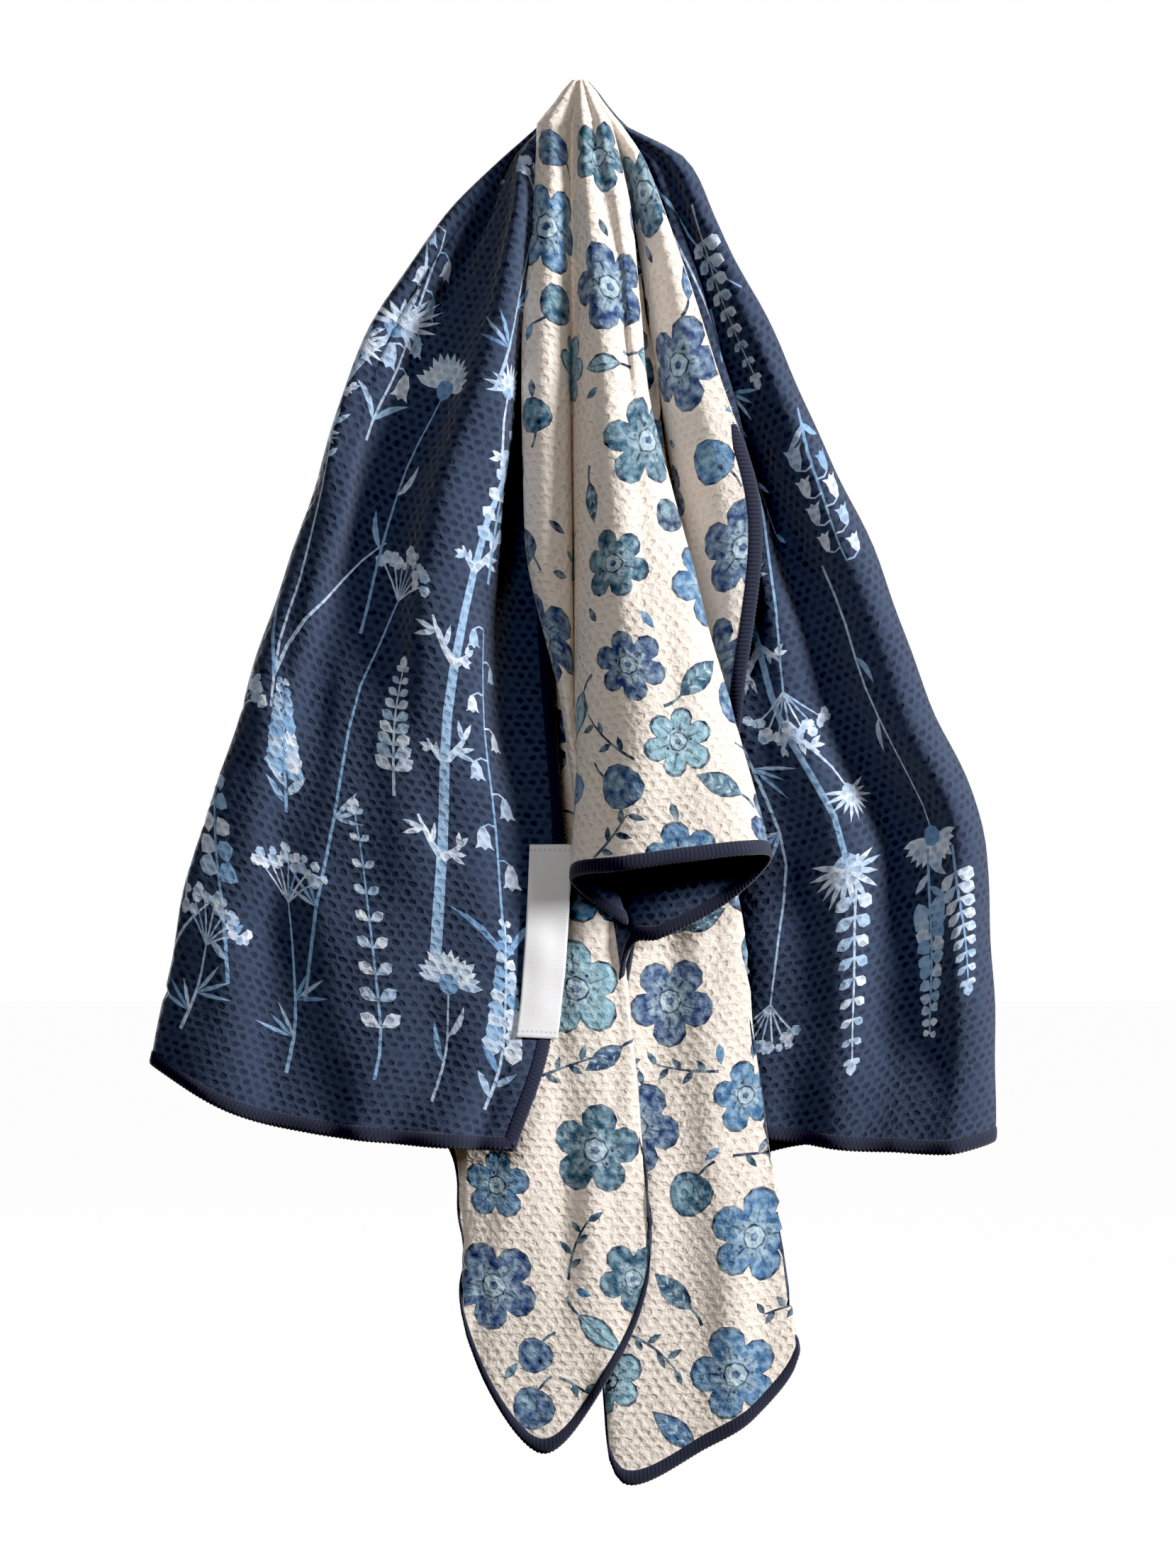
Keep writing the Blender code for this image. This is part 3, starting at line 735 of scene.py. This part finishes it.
# Motifs keep out of each other's room, unless they lie further apart than this along the cloth's length
CLOSENESS = 0.97
NEIGHBOURS = 75.0
PRINT_TOP = 30.0


def scattered_print():
    """The outlines and inks of every motif on the pale side, as places on the cloth."""
    draw = random.Random(23)
    shapes, set_down = [], []
    for kind, (motif_of, room, tries) in enumerate(SCATTER):
        for panel in sorted(PANELS, key=lambda panel: panel.name in INWARDS):
            if panel.name in INWARDS and kind >= INWARD_KINDS:
                continue
            reach = falls[-1, int(panel.middle * FINE_SPLITS)]
            for _ in range(tries):
                down = draw.uniform(PRINT_TOP, reach)
                first, last = panel_width(panel, down)
                across = draw.uniform(first, last)
                place = panel_place(panel, [(across, down)])
                spot, run = on_cloth(place, 0.0)[0] / MM, place[0, 0]
                if place[0, 1] > NOMINAL_DROP or any(
                    abs(run - other_run) < NEIGHBOURS and math.dist(spot, other) < CLOSENESS * (room + taken)
                    for other, other_run, taken in set_down
                ):
                    continue
                set_down.append((spot, run, room))
                motif = motif_of(draw)
                shapes += laid_on(panel, motif, across, down, 0, False)
    return shapes


# The cloth
# One sheet with two printed faces, laid out flat as (run, level) and then carried onto the drape. Each face
# is cut along the outlines of its print, and the two faces share one rim at the hem and at the free edges.
BASE_SPLITS, BASE_ROWS = 6, 74
SHORT_OF_EDGE, SHORT_OF_TOP = 0.6, 6.0
# Each face is cut into triangles while drawn out across, so that its triangles run down the folds
DRAWN_OUT = 1.7
MERGED_WITHIN = 0.01
base_columns = np.linspace(0, len(strip_runs) - 1, (len(FOLDS) - 1) * BASE_SPLITS + 1)
base_runs = np.interp(base_columns, np.arange(len(strip_runs)), strip_runs)
base_rows = np.linspace(0, len(levels) - 1, BASE_ROWS)
base_levels = np.interp(base_rows, np.arange(len(levels)), levels)
HEM_LEVEL = base_levels[-1]


def rectangle_rim():
    """The places round the flat sheet's rim, from its top at edge C, down, along the hem and up edge D."""
    down = [(base_runs[0], level) for level in base_levels]
    along = [(run, HEM_LEVEL) for run in base_runs[1:-1]]
    up = [(base_runs[-1], level) for level in base_levels[::-1]]
    top = [(run, TOP_LEVEL) for run in base_runs[-2:0:-1]]
    return down + along + up + top


def inside(outline, points):
    """Which points lie inside an outline."""
    x, y = points.T
    within = np.zeros(len(points), bool)
    for (x0, y0), (x1, y1) in zip(outline, np.roll(outline, -1, axis=0)):
        if y0 != y1:
            within ^= ((y0 > y) != (y1 > y)) & (x < (x1 - x0) * (y - y0) / (y1 - y0) + x0)
    return within


def face_of_cloth(shapes):
    """Places, triangles, inks (red, green, blue, 1 where inked) and the rim's vertices for one face."""
    rim = rectangle_rim()
    places = rim + [(run, level) for run in base_runs[1:-1] for level in base_levels[1:-1]]
    edges = [(k, (k + 1) % len(rim)) for k in range(len(rim))]
    low = np.array([SHORT_OF_EDGE, SHORT_OF_TOP])
    high = np.array([cloth_run - SHORT_OF_EDGE, HEM_LEVEL - SHORT_OF_EDGE])
    drawn = []
    for outline, ink in shapes:
        if (outline.max(axis=0) < low).any() or (outline.min(axis=0) > high).any():
            continue
        outline = np.clip(outline, low, high)
        first, count = len(places), len(outline)
        edges += [(first + k, first + (k + 1) % count) for k in range(count)]
        places += [tuple(place) for place in outline]
        drawn.append((outline, ink))
    drawn_out = [Vector((run * DRAWN_OUT, level)) for run, level in places]
    corners, _, triangles, _, _, _ = delaunay_2d_cdt(drawn_out, edges, [], 0, MERGED_WITHIN, False)
    at = {tuple(corner): k for k, corner in enumerate(corners)}
    rim_corners = [at[tuple(corner)] for corner in drawn_out[: len(rim)]]
    places = np.array([(corner.x / DRAWN_OUT, corner.y) for corner in corners])
    triangles = np.array([triangle for triangle in triangles if len(triangle) == 3])
    centres = places[triangles].mean(axis=1)
    order = np.argsort(centres[:, 0])
    centres, triangles = centres[order], triangles[order]
    inks = np.zeros((len(triangles), 4))
    for outline, ink in drawn:
        first, last = np.searchsorted(centres[:, 0], (outline[:, 0].min(), outline[:, 0].max()))
        inks[first:last][inside(outline, centres[first:last])] = (*ink, 1.0)
    return places, triangles, inks, rim_corners


def new_piece(name, points, faces):
    """A mesh object with these points in metres and these faces, shaded smooth."""
    mesh = bpy.data.meshes.new(name)
    mesh.from_pydata([tuple(point) for point in points], [], [tuple(face) for face in faces])
    mesh.polygons.foreach_set("use_smooth", [True] * len(mesh.polygons))
    piece = bpy.data.objects.new(name, mesh)
    bpy.context.scene.collection.objects.link(piece)
    return piece


def add_corner_data(piece, name, kind, values):
    """An attribute with one value for each corner of each face."""
    layer = piece.data.attributes.new(name, kind, "CORNER")
    field = "color" if kind == "FLOAT_COLOR" else "vector"
    layer.data.foreach_set(field, np.asarray(values, np.float32).ravel())


def with_margin(share, margin=0.01):
    """A share of a stretch of the bake's square that keeps off both of its ends."""
    return share * (1 - 2 * margin) + margin


def add_uv(piece, values):
    layer = piece.data.uv_layers.new(name="OFBake")
    layer.data.foreach_set("uv", np.asarray(values, np.float32).ravel())


def panel_middles(columns):
    """The middle column of the panel that each column lies in."""
    ends = [panel.last * FINE_SPLITS for panel in PANELS[:-1]]
    middles = np.array([panel.middle * FINE_SPLITS for panel in PANELS])
    return middles[np.searchsorted(ends, columns)]


def weave_places(places, triangles):
    """Where each corner lies on its panel, across and down in millimetres."""
    columns, rows = grid_place(places)
    middles = np.repeat(panel_middles(columns[triangles].mean(axis=1)), 3)
    columns, rows = columns[triangles.ravel()], rows[triangles.ravel()]
    down = read_grid(falls, columns, rows)
    across = read_grid(depth_runs, columns, down / DEPTH_STEP)
    across -= read_grid(depth_runs, middles, down / DEPTH_STEP)
    return np.stack([across, down, np.zeros(len(across))], axis=1)


faces_of_sheet = [face_of_cloth(meadow_print()), face_of_cloth(scattered_print())]
DARK_LIFT, PALE_LIFT = CLOTH_THICKNESS / 2, -CLOTH_THICKNESS / 2
UV_ROWS, UV_RIM = ((0.0, 0.485), (0.495, 0.98)), (0.985, 0.995)
sheet_points, sheet_normals, sheet_faces, sheet_inks, sheet_weave, sheet_uv, rims = [], [], [], [], [], [], []
for (places, triangles, inks, rim), lift, uv_rows in zip(faces_of_sheet, (DARK_LIFT, PALE_LIFT), UV_ROWS):
    first = len(sheet_points)
    columns, rows = grid_place(places)
    outward = unit(read_grid(normals, columns, rows)) * np.sign(lift)
    sheet_points += list(on_cloth(places, lift))
    sheet_normals += list(outward * np.array([1, -1, -1]))
    corners = triangles if lift > 0 else triangles[:, ::-1]
    sheet_faces += [tuple(face) for face in corners + first]
    sheet_inks += list(np.repeat(inks, 3, axis=0))
    sheet_weave += list(weave_places(places, corners))
    u = with_margin(places[corners.ravel(), 0] / cloth_run)
    v = uv_rows[0] + (uv_rows[1] - uv_rows[0]) * places[corners.ravel(), 1] / HEM_LEVEL
    sheet_uv += list(np.stack([u, v], axis=1))
    rims.append([k + first for k in rim])

rim_count = len(rims[0])
for k in range(rim_count):
    after = (k + 1) % rim_count
    dark, dark_after, pale, pale_after = rims[0][k], rims[0][after], rims[1][k], rims[1][after]
    sheet_faces += [(dark, pale_after, pale), (dark, dark_after, pale_after)]
    along = (with_margin(k / rim_count), with_margin((k + 1) / rim_count))
    low_corners, high_corners = ([(u, v) for u in along] for v in UV_RIM)
    sheet_uv += [low_corners[0], high_corners[1], high_corners[0]]
    sheet_uv += [low_corners[0], low_corners[1], high_corners[1]]
    sheet_inks += [(*INDIGO, 1.0)] * 6
    sheet_weave += [(0.0, 0.0, 0.0)] * 6

towel = new_piece("towel_cloth", sheet_points, sheet_faces)
add_corner_data(towel, "ink", "FLOAT_COLOR", sheet_inks)
add_corner_data(towel, "weave", "FLOAT_VECTOR", sheet_weave)
add_uv(towel, sheet_uv)
towel.data.normals_split_custom_set_from_vertices([tuple(normal) for normal in sheet_normals])


# The materials' nodes
# Every finish is written as sums on the cloth's own measures, and each sum adds its nodes to the material.
# The cloth, the thread and the tape are all dull textiles with a soft sheen.
TEXTILE_SPECULAR, SHEEN_ROUGHNESS = 0.25, 0.6


class Wire:
    """A socket of a material, with arithmetic that adds Math nodes."""

    def __init__(self, tree, socket):
        self.tree, self.socket = tree, socket

    def node(self, kind, settings, values, output=0):
        """One output of a new node with these settings, and values or links by socket name or number."""
        made = self.tree.nodes.new(kind)
        for name, value in settings.items():
            setattr(made, name, value)
        for name, value in values.items():
            if isinstance(value, Wire):
                self.tree.links.new(value.socket, made.inputs[name])
            else:
                made.inputs[name].default_value = value
        return Wire(self.tree, made.outputs[output])

    def maths(self, operation, *others):
        return self.node("ShaderNodeMath", {"operation": operation}, dict(enumerate((self, *others))))

    def __add__(self, other):
        return self.maths("ADD", other)

    __radd__ = __add__

    def __sub__(self, other):
        return self.maths("SUBTRACT", other)

    def __rsub__(self, other):
        return self.node("ShaderNodeMath", {"operation": "SUBTRACT"}, {0: other, 1: self})

    def __mul__(self, other):
        return self.maths("MULTIPLY", other)

    __rmul__ = __mul__

    def __truediv__(self, other):
        return self.maths("DIVIDE", other)

    def part(self, number):
        """One of this vector's parts: 0 across or 1 down."""
        return self.node("ShaderNodeSeparateXYZ", {}, {0: self}, number)

    def step(self, first, last, low=0.0, high=1.0):
        """Smoothly from low to high as the value goes from first to last."""
        settings = {"interpolation_type": "SMOOTHSTEP"}
        return self.node("ShaderNodeMapRange", settings, {0: self, 1: first, 2: last, 3: low, 4: high})

    def colour(self, first, second):
        """A colour that goes from first to second as this value goes from 0 to 1."""
        return self.node("ShaderNodeMix", {"data_type": "RGBA"}, {0: self, 6: first, 7: second}, 2)

    def noise(self, scale, detail=2.0):
        """Noise from 0 to 1 over this vector."""
        return self.node("ShaderNodeTexNoise", {}, {"Vector": self, "Scale": scale, "Detail": detail})

    def bump(self, strength, distance):
        """A normal that follows this height."""
        return self.node("ShaderNodeBump", {}, {"Strength": strength, "Distance": distance, "Height": self})


def opaque(colour):
    return (*colour, 1.0)


def attribute(tree, name, output):
    return Wire(tree, None).node("ShaderNodeAttribute", {"attribute_name": name}, {}, output)


def new_material(name, roughness, sheen=0.0):
    """A new material, its node tree and its shader."""
    material = bpy.data.materials.new(name)
    material.use_nodes = True
    tree = material.node_tree
    shader = next(node for node in tree.nodes if node.type == "BSDF_PRINCIPLED")
    shader.inputs["Roughness"].default_value = roughness
    shader.inputs["Specular IOR Level"].default_value = TEXTILE_SPECULAR
    shader.inputs["Sheen Weight"].default_value = sheen
    shader.inputs["Sheen Roughness"].default_value = SHEEN_ROUGHNESS
    return material, tree, shader


def plug(shader, name, wire):
    wire.tree.links.new(wire.socket, shader.inputs[name])


# The cloth's two finishes
# Waffle weave with small staggered pits. The dark side's ground is navy, darkened with painted shade in its
# pits. The pale side is a pebbly cream with painted warm shade in its pits. The print on both is mottled like
# watercolour, and painted shade darkens it in the pits.
PIT_ACROSS, PIT_DOWN = 4.2, 3.0
WANDER_ACROSS, WANDER_DOWN = 2.6, 2.2
NAVY_RIB = screen_colour(58, 73, 101)
# The navy deep in the pits is painted shade
NAVY_PAINTED_PIT_SHADE = screen_colour(31, 42, 65)
CREAM = screen_colour(242, 232, 222)
# The warm cream deep in the pits is painted shade
CREAM_PAINTED_PIT_SHADE = screen_colour(226, 206, 190)


def waffle(tree):
    """How deep a place is in its pit, from 0 on a rib to 1, and the cloth's own vector."""
    place = attribute(tree, "weave", 1)
    across = place.part(0) + (place.noise(0.35) - 0.5) * WANDER_ACROSS
    down = (place.part(1) + (place.noise(0.22) - 0.5) * WANDER_DOWN) / PIT_DOWN
    shifted = across / PIT_ACROSS + down.maths("FLOOR").maths("MODULO", 2.0) * 0.5
    in_cell_across = shifted.maths("FRACT") - 0.5
    in_cell_down = down.maths("FRACT") - 0.5
    reach = in_cell_across * in_cell_across + in_cell_down * in_cell_down
    return reach.step(0.2, 0.02) * place.noise(0.16, 3.0).step(0.3, 0.62, 0.35, 1.0), place


def cloth_finish(name, pale):
    """The cotton of one side: its ground and its print under the weave, with painted shade in the weave's pits.
    """
    material, tree, shader = new_material(name, 0.9, 0.25)
    pit, place = waffle(tree)
    ink = attribute(tree, "ink", 0)
    printed = attribute(tree, "ink", 3)
    grain = place.noise(1.4, 3.0)
    if pale:
        depth, pebbles, pit_depth = 0.8, 1.6, 0.7
        mottle = place.noise(0.28, 4.0).step(0.3, 0.7)
        # Painted warm shade: the cream ground darkens deep in each pit
        ground = (pit * 0.4).colour(opaque(CREAM), opaque(CREAM_PAINTED_PIT_SHADE))
        washed = (mottle * 0.5).colour(ink, opaque(PALE_PETAL))
        washed = ((1 - mottle) * 0.35).colour(washed, opaque(INDIGO))
        # Painted shade: the print turns towards indigo deep in each pit
        washed = (pit * 0.22).colour(washed, opaque(INDIGO))
    else:
        depth, pebbles, pit_depth = 0.6, 0.9, 1.0
        mottle = place.noise(0.2, 3.0).step(0.35, 0.7)
        # Painted shade: the navy ground darkens deep in each pit, a little unevenly
        ground = (pit * (0.75 + 0.25 * grain)).colour(opaque(NAVY_RIB), opaque(NAVY_PAINTED_PIT_SHADE))
        washed = (mottle * 0.3).colour(ink, opaque(HAZE))
        # Painted shade: the print dims towards a dull blue deep in each pit
        washed = (pit * 0.4).colour(washed, opaque(between(NAVY_RIB, HAZE, 0.4)))
    plug(shader, "Base Color", printed.colour(ground, washed))
    height = place.noise(0.42, 2.0) * pebbles + grain * 0.3 - pit * pit_depth
    plug(shader, "Normal", height.bump(depth, 0.6 * MM))
    return material


towel.data.materials.append(cloth_finish("waffle_dark_side", False))
towel.data.materials.append(cloth_finish("waffle_pale_side", True))
dark_faces = len(faces_of_sheet[0][1])
finish_numbers = [int(k >= dark_faces) for k in range(len(towel.data.polygons))]
towel.data.polygons.foreach_set("material_index", finish_numbers)
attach(towel, "root")
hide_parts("towel")


# The overlocked edge
# Dark thread wraps the cloth's cut edge in a band of close slanting stitches, seen alike from both faces. It
# runs down edge C, round the corner, along the whole hem and up edge D to where that edge is rolled under.
# Its raised strands are painted lighter, as a painted highlight, and its low strands darker, as painted shade.
STITCH_PITCH = 1.5
# Heights of a stitch's strands in turn; the same shares also paint a highlight on the higher strands
STITCH_HEIGHTS = (0.62, 1.0, 1.0)
STITCH_SLANT = 0.5
# The thread's colour with painted shade on its low strands and a painted highlight on its raised ones
THREAD_IN_PAINTED_SHADE = screen_colour(8, 11, 25)
THREAD_PAINTED_HIGHLIGHT = screen_colour(36, 44, 74)
EDGE_C_TOP, EDGE_D_TOP = 95.0, 130.0
EDGING_ROWS = 24
# The band's two ends narrow over this length to this share
TAPER, THINNEST = 14.0, 0.05
# How far in from the edge and how far off the cloth's middle each strand of a stitch lies, from face to face
STITCH_SHAPE = ((4.7, 0.5), (4.2, 1.0), (2.4, 1.15), (0.6, 1.12), (-0.5, 0.75), (-0.85, 0.0))
STITCH_SHAPE += tuple((inset, -lift) for inset, lift in STITCH_SHAPE[-2::-1])


def sampled_edge(line, places, first, last, step):
    """Places at even steps along an edge of the fine grid, between two lengths along it."""
    lengths = np.concatenate([[0.0], np.cumsum(np.linalg.norm(np.diff(line, axis=0), axis=1))])
    last = lengths[-1] if last is None else last
    at = np.linspace(first, last, int((last - first) / step) + 1)
    return np.stack([np.interp(at, lengths, places[:, k]) for k in range(2)], axis=1)


def add_edging():
    """The band of stitches as one closed mesh along the edge, with its thread's material."""
    step = STITCH_PITCH / len(STITCH_HEIGHTS)
    side = [np.stack([np.full(len(levels), run), levels], axis=1) for run in (0.0, cloth_run)]
    hem = np.stack([strip_runs, np.full(len(strip_runs), HEM_LEVEL)], axis=1)
    edge_c = sampled_edge(drape[:, 0], side[0], EDGE_C_TOP, falls[-1, 0] - step, step)
    edge_d = sampled_edge(drape[::-1, -1], side[1][::-1], step, falls[-1, -1] - EDGE_D_TOP, step)
    bottom = sampled_edge(drape[-1], hem, 0.0, None, step)
    path = np.concatenate([edge_c, bottom, edge_d])
    inwards = np.zeros_like(path)
    columns, rows = grid_place(path)
    on_c, on_d = len(edge_c), len(edge_c) + len(bottom) - 1
    row_below = np.clip(rows.astype(int), 1, len(levels) - 1)
    whole = columns.round().astype(int)
    per_level = falls[row_below, whole] - falls[row_below - 1, whole]
    per_level = per_level / (levels[row_below] - levels[row_below - 1])
    near = np.clip(columns.astype(int), 1, len(strip_runs) - 2)
    per_run = runs[row_below, near + 1] - runs[row_below, near - 1]
    per_run = per_run / (strip_runs[near + 1] - strip_runs[near - 1])
    inwards[: on_c + 1, 0] = 1 / per_run[: on_c + 1]
    inwards[on_d:, 0] = -1 / per_run[on_d:]
    inwards[on_c : on_d + 1, 1] = -1 / per_level[on_c : on_d + 1]
    edge = on_cloth(path, 0.0)
    beyond = unit(edge - on_cloth(path + 2 * inwards, 0.0)) * MM
    raised = on_cloth(path, 1.0) - edge
    from_end = np.minimum(np.arange(len(path)), np.arange(len(path))[::-1]) * step
    taper = np.clip(from_end / TAPER, THINNEST, 1.0) ** 0.5
    rings = []
    for k, (inset, lift) in enumerate(STITCH_SHAPE):
        slant = int(round(STITCH_SLANT * k))
        height = np.array([STITCH_HEIGHTS[(n + slant) % len(STITCH_HEIGHTS)] for n in range(len(path))])
        if inset > 0:
            places = path + (inset * taper)[:, None] * inwards
            rings.append(on_cloth(places, lift * taper * (0.8 + 0.2 * height)))
        else:
            rings.append(edge + (lift * raised - inset * beyond) * (taper * height)[:, None])
    strands = len(rings)
    points = np.stack(rings, axis=1).reshape(-1, 3)
    faces, uvs, thread = [], [], []
    for n in range(len(path) - 1):
        for k in range(strands):
            after = (k + 1) % strands
            a, b = n * strands + k, n * strands + after
            faces.append((a, b, b + strands, a + strands))
            for along, ring in ((n, k), (n, k + 1), (n + 1, k + 1), (n + 1, k)):
                share = along / (len(path) - 1) * EDGING_ROWS
                row = min(int(n / (len(path) - 1) * EDGING_ROWS), EDGING_ROWS - 1)
                round_strand = with_margin(ring / strands, 0.06)
                uvs.append((with_margin(share - row), (row + round_strand) / EDGING_ROWS))
                # Each corner keeps its strand's height, which sets how much painted highlight it gets
                slant = int(round(STITCH_SLANT * (ring % strands)))
                light = STITCH_HEIGHTS[(along + slant) % len(STITCH_HEIGHTS)]
                thread.append((light, light, light, 1.0))
    faces += [tuple(range(strands))[::-1], tuple(range(len(points) - strands, len(points)))]
    uvs += [(0.005, 0.005)] * (2 * strands)
    thread += [(1.0, 1.0, 1.0, 1.0)] * (2 * strands)
    piece = new_piece("overlocked_edge", points, faces)
    add_uv(piece, uvs)
    add_corner_data(piece, "thread", "FLOAT_COLOR", thread)
    material, tree, shader = new_material("overlock_thread", 0.75, 0.3)
    # Painted highlight on the raised strands, painted shade on the low ones
    painted_highlight_share = attribute(tree, "thread", 2).step(STITCH_HEIGHTS[0], 1.0)
    plug(shader, "Base Color", painted_highlight_share.colour(opaque(THREAD_IN_PAINTED_SHADE), opaque(THREAD_PAINTED_HIGHLIGHT)))
    piece.data.materials.append(material)
    return piece


edging = add_edging()
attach(edging, "root")


# The label
# A bare white satin tape lies on the dark side along edge C and laps a little past it. It is sewn down with
# one short row of stitches at each end.
LABEL_TOP_DROP, LABEL_LENGTH, LABEL_WIDTH, LABEL_OVERHANG = 271.0, 68.0, 15.0, 2.5
LABEL_THICKNESS, LABEL_LIFT = 0.5, CLOTH_THICKNESS / 2 + 0.75
LABEL_BOW, LABEL_RIPPLE = 0.5, 0.12
LABEL_ROWS, LABEL_COLUMNS = 69, 17
LABEL_RIB_PITCH, STITCHES_FROM_END, STITCHES_PER_MM = 0.7, 2.0, 0.6
LABEL_WHITE = screen_colour(232, 231, 233)
LABEL_THREAD = screen_colour(206, 210, 220)


def label_place(inset, drop):
    """World point of the cloth under the label, at a length in from edge C, and the way off the cloth."""
    row = np.interp(drop, drape[:, 0, 2], np.arange(len(levels)))
    run = read_grid(runs, np.arange(runs.shape[1] - 1), np.full(runs.shape[1] - 1, row))
    column = np.interp(max(inset, 0.0), run, np.arange(len(run)))
    at = [np.array([column]), np.array([row])]
    point, off = read_grid(drape, *at)[0], unit(read_grid(normals, *at))[0]
    if inset < 0:
        edge, inner = (read_grid(drape, np.array([c]), at[1])[0] for c in (0.0, 2.0))
        point = point + unit(inner - edge) * inset
    return point, off


def add_label():
    """The tape as a thin closed slab that follows the cloth, with its material."""
    layers = ([], [])
    for drop in np.linspace(LABEL_TOP_DROP, LABEL_TOP_DROP + LABEL_LENGTH, LABEL_ROWS):
        for inset in np.linspace(-LABEL_OVERHANG, LABEL_WIDTH - LABEL_OVERHANG, LABEL_COLUMNS):
            point, off = label_place(inset, drop)
            along = (drop - LABEL_TOP_DROP) / LABEL_LENGTH
            slack = LABEL_BOW * math.sin(math.pi * along) ** 0.5
            slack += LABEL_RIPPLE * math.sin(23 * along + 0.2 * inset)
            for layer, lift in zip(layers, (LABEL_LIFT + LABEL_THICKNESS, LABEL_LIFT)):
                layer.append((point + off * (lift + slack)) * np.array([MM, -MM, -MM]))
    points = layers[0] + layers[1]
    count = len(layers[0])
    faces, uvs, tape = [], [], []

    def add_face(corners, layer):
        faces.append(corners)
        for corner in corners:
            row, column = divmod(corner % count, LABEL_COLUMNS)
            along, across = row / (LABEL_ROWS - 1), column / (LABEL_COLUMNS - 1)
            uvs.append((with_margin(along), (with_margin(across, 0.05) + layer) / 2))
            tape.append((across * LABEL_WIDTH, along * LABEL_LENGTH, 0.0))

    for row in range(LABEL_ROWS - 1):
        for column in range(LABEL_COLUMNS - 1):
            a = row * LABEL_COLUMNS + column
            corners = (a, a + 1, a + LABEL_COLUMNS + 1, a + LABEL_COLUMNS)
            add_face(corners[::-1], 0)
            add_face(tuple(corner + count for corner in corners), 1)
    rim = list(range(LABEL_COLUMNS))
    rim += [row * LABEL_COLUMNS + LABEL_COLUMNS - 1 for row in range(1, LABEL_ROWS)]
    rim += [(LABEL_ROWS - 1) * LABEL_COLUMNS + column for column in range(LABEL_COLUMNS - 2, -1, -1)]
    rim += [row * LABEL_COLUMNS for row in range(LABEL_ROWS - 2, 0, -1)]
    for a, b in zip(rim, rim[1:] + rim[:1]):
        add_face((a, b, b + count, a + count), 0)
    piece = new_piece("sewn_label", points, faces)
    add_uv(piece, uvs)
    add_corner_data(piece, "tape", "FLOAT_VECTOR", tape)
    material, tree, shader = new_material("satin_tape", 0.45, 0.1)
    place = attribute(tree, "tape", 1)
    across, down = place.part(0), place.part(1)
    ribs = (down * (2 * math.pi / LABEL_RIB_PITCH)).maths("SINE")
    from_middle = (down - LABEL_LENGTH / 2).maths("ABSOLUTE")
    off_row = (from_middle - (LABEL_LENGTH / 2 - STITCHES_FROM_END)).maths("ABSOLUTE")
    stitch = off_row.step(0.6, 0.3) * (across * STITCHES_PER_MM).maths("FRACT").step(0.45, 0.55)
    plug(shader, "Base Color", stitch.colour(opaque(LABEL_WHITE), opaque(LABEL_THREAD)))
    height = ribs * 0.2 + stitch + place.noise(0.8) * 0.6
    plug(shader, "Normal", height.bump(0.35, 0.25 * MM))
    piece.data.materials.append(material)
    return piece


label = add_label()
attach(label, "root")
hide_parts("label")


# The studio
# A pale floor well below the towel and a wide pale dome round it, which only the camera sees. The towel is
# lit by a soft lamp from the right, weaker ones in front and behind, and a little warm light from all sides.
FLOOR_LEVEL = -0.62
DOME_RADIUS = 7.0
LAMPS_AIM = (0, 0, -0.25)


def add_backdrop(piece, brightness):
    """Paint a backdrop evenly bright and keep its light off the towel."""
    material, _, shader = new_material(f"{piece.name}_paint", 0.9)
    shader.inputs["Base Color"].default_value = (0.0, 0.0, 0.0, 1.0)
    shader.inputs["Emission Color"].default_value = (1.0, 1.0, 1.0, 1.0)
    shader.inputs["Emission Strength"].default_value = brightness
    piece.data.materials.append(material)
    piece.visible_diffuse = piece.visible_glossy = piece.visible_shadow = False


bpy.ops.mesh.primitive_circle_add(
    vertices=64, radius=DOME_RADIUS, fill_type="NGON", location=(0, 0, FLOOR_LEVEL)
)
bpy.context.object.name = "floor"
add_backdrop(bpy.context.object, 0.975)
bpy.ops.mesh.primitive_uv_sphere_add(segments=48, ring_count=24, radius=DOME_RADIUS)
bpy.context.object.name = "dome"
add_backdrop(bpy.context.object, 1.0)


def add_lamp(name, place, width, power):
    """A square soft lamp that looks at the towel's middle."""
    lamp = bpy.data.lights.new(name, "AREA")
    lamp.shape, lamp.size, lamp.energy = "SQUARE", width, power
    holder = bpy.data.objects.new(name, lamp)
    holder.location = place
    holder.rotation_euler = (Vector(LAMPS_AIM) - Vector(place)).to_track_quat("-Z", "Y").to_euler()
    bpy.context.scene.collection.objects.link(holder)


add_lamp("key", (2.1, -0.95, 0.6), 0.5, 80)
add_lamp("fill", (-0.5, -2.2, 0.5), 0.8, 16)
add_lamp("behind", (-1.2, 2.0, 0.6), 0.8, 46)

world = bpy.data.worlds.new("studio_air")
world.use_nodes = True
world.node_tree.nodes["Background"].inputs["Color"].default_value = (1.0, 0.92, 0.86, 1.0)
world.node_tree.nodes["Background"].inputs["Strength"].default_value = 0.07
bpy.context.scene.world = world
# The picture's deepest shades close up to black
SHADE_FLOOR = (0.013, 0.0148, 0.0195)
bpy.context.scene.view_settings.view_transform = "Standard"
bpy.context.scene.view_settings.use_curve_mapping = True
bpy.context.scene.view_settings.curve_mapping.black_level = SHADE_FLOOR

# The camera stands level with the towel's middle, straight in front of it
CAMERA_DISTANCE = 1.8
CAMERA_X, CAMERA_Z = 0.0029, -0.2495
FRAME_HEIGHT = 0.553
SENSOR_HEIGHT = 24.0
view = bpy.data.cameras.new("camera")
view.sensor_fit, view.sensor_height = "VERTICAL", SENSOR_HEIGHT
view.lens = SENSOR_HEIGHT * CAMERA_DISTANCE / FRAME_HEIGHT
camera = bpy.data.objects.new("camera", view)
camera.location = (CAMERA_X, -CAMERA_DISTANCE, CAMERA_Z)
camera.rotation_euler = (math.pi / 2, 0, 0)
bpy.context.scene.collection.objects.link(camera)
bpy.context.scene.camera = camera
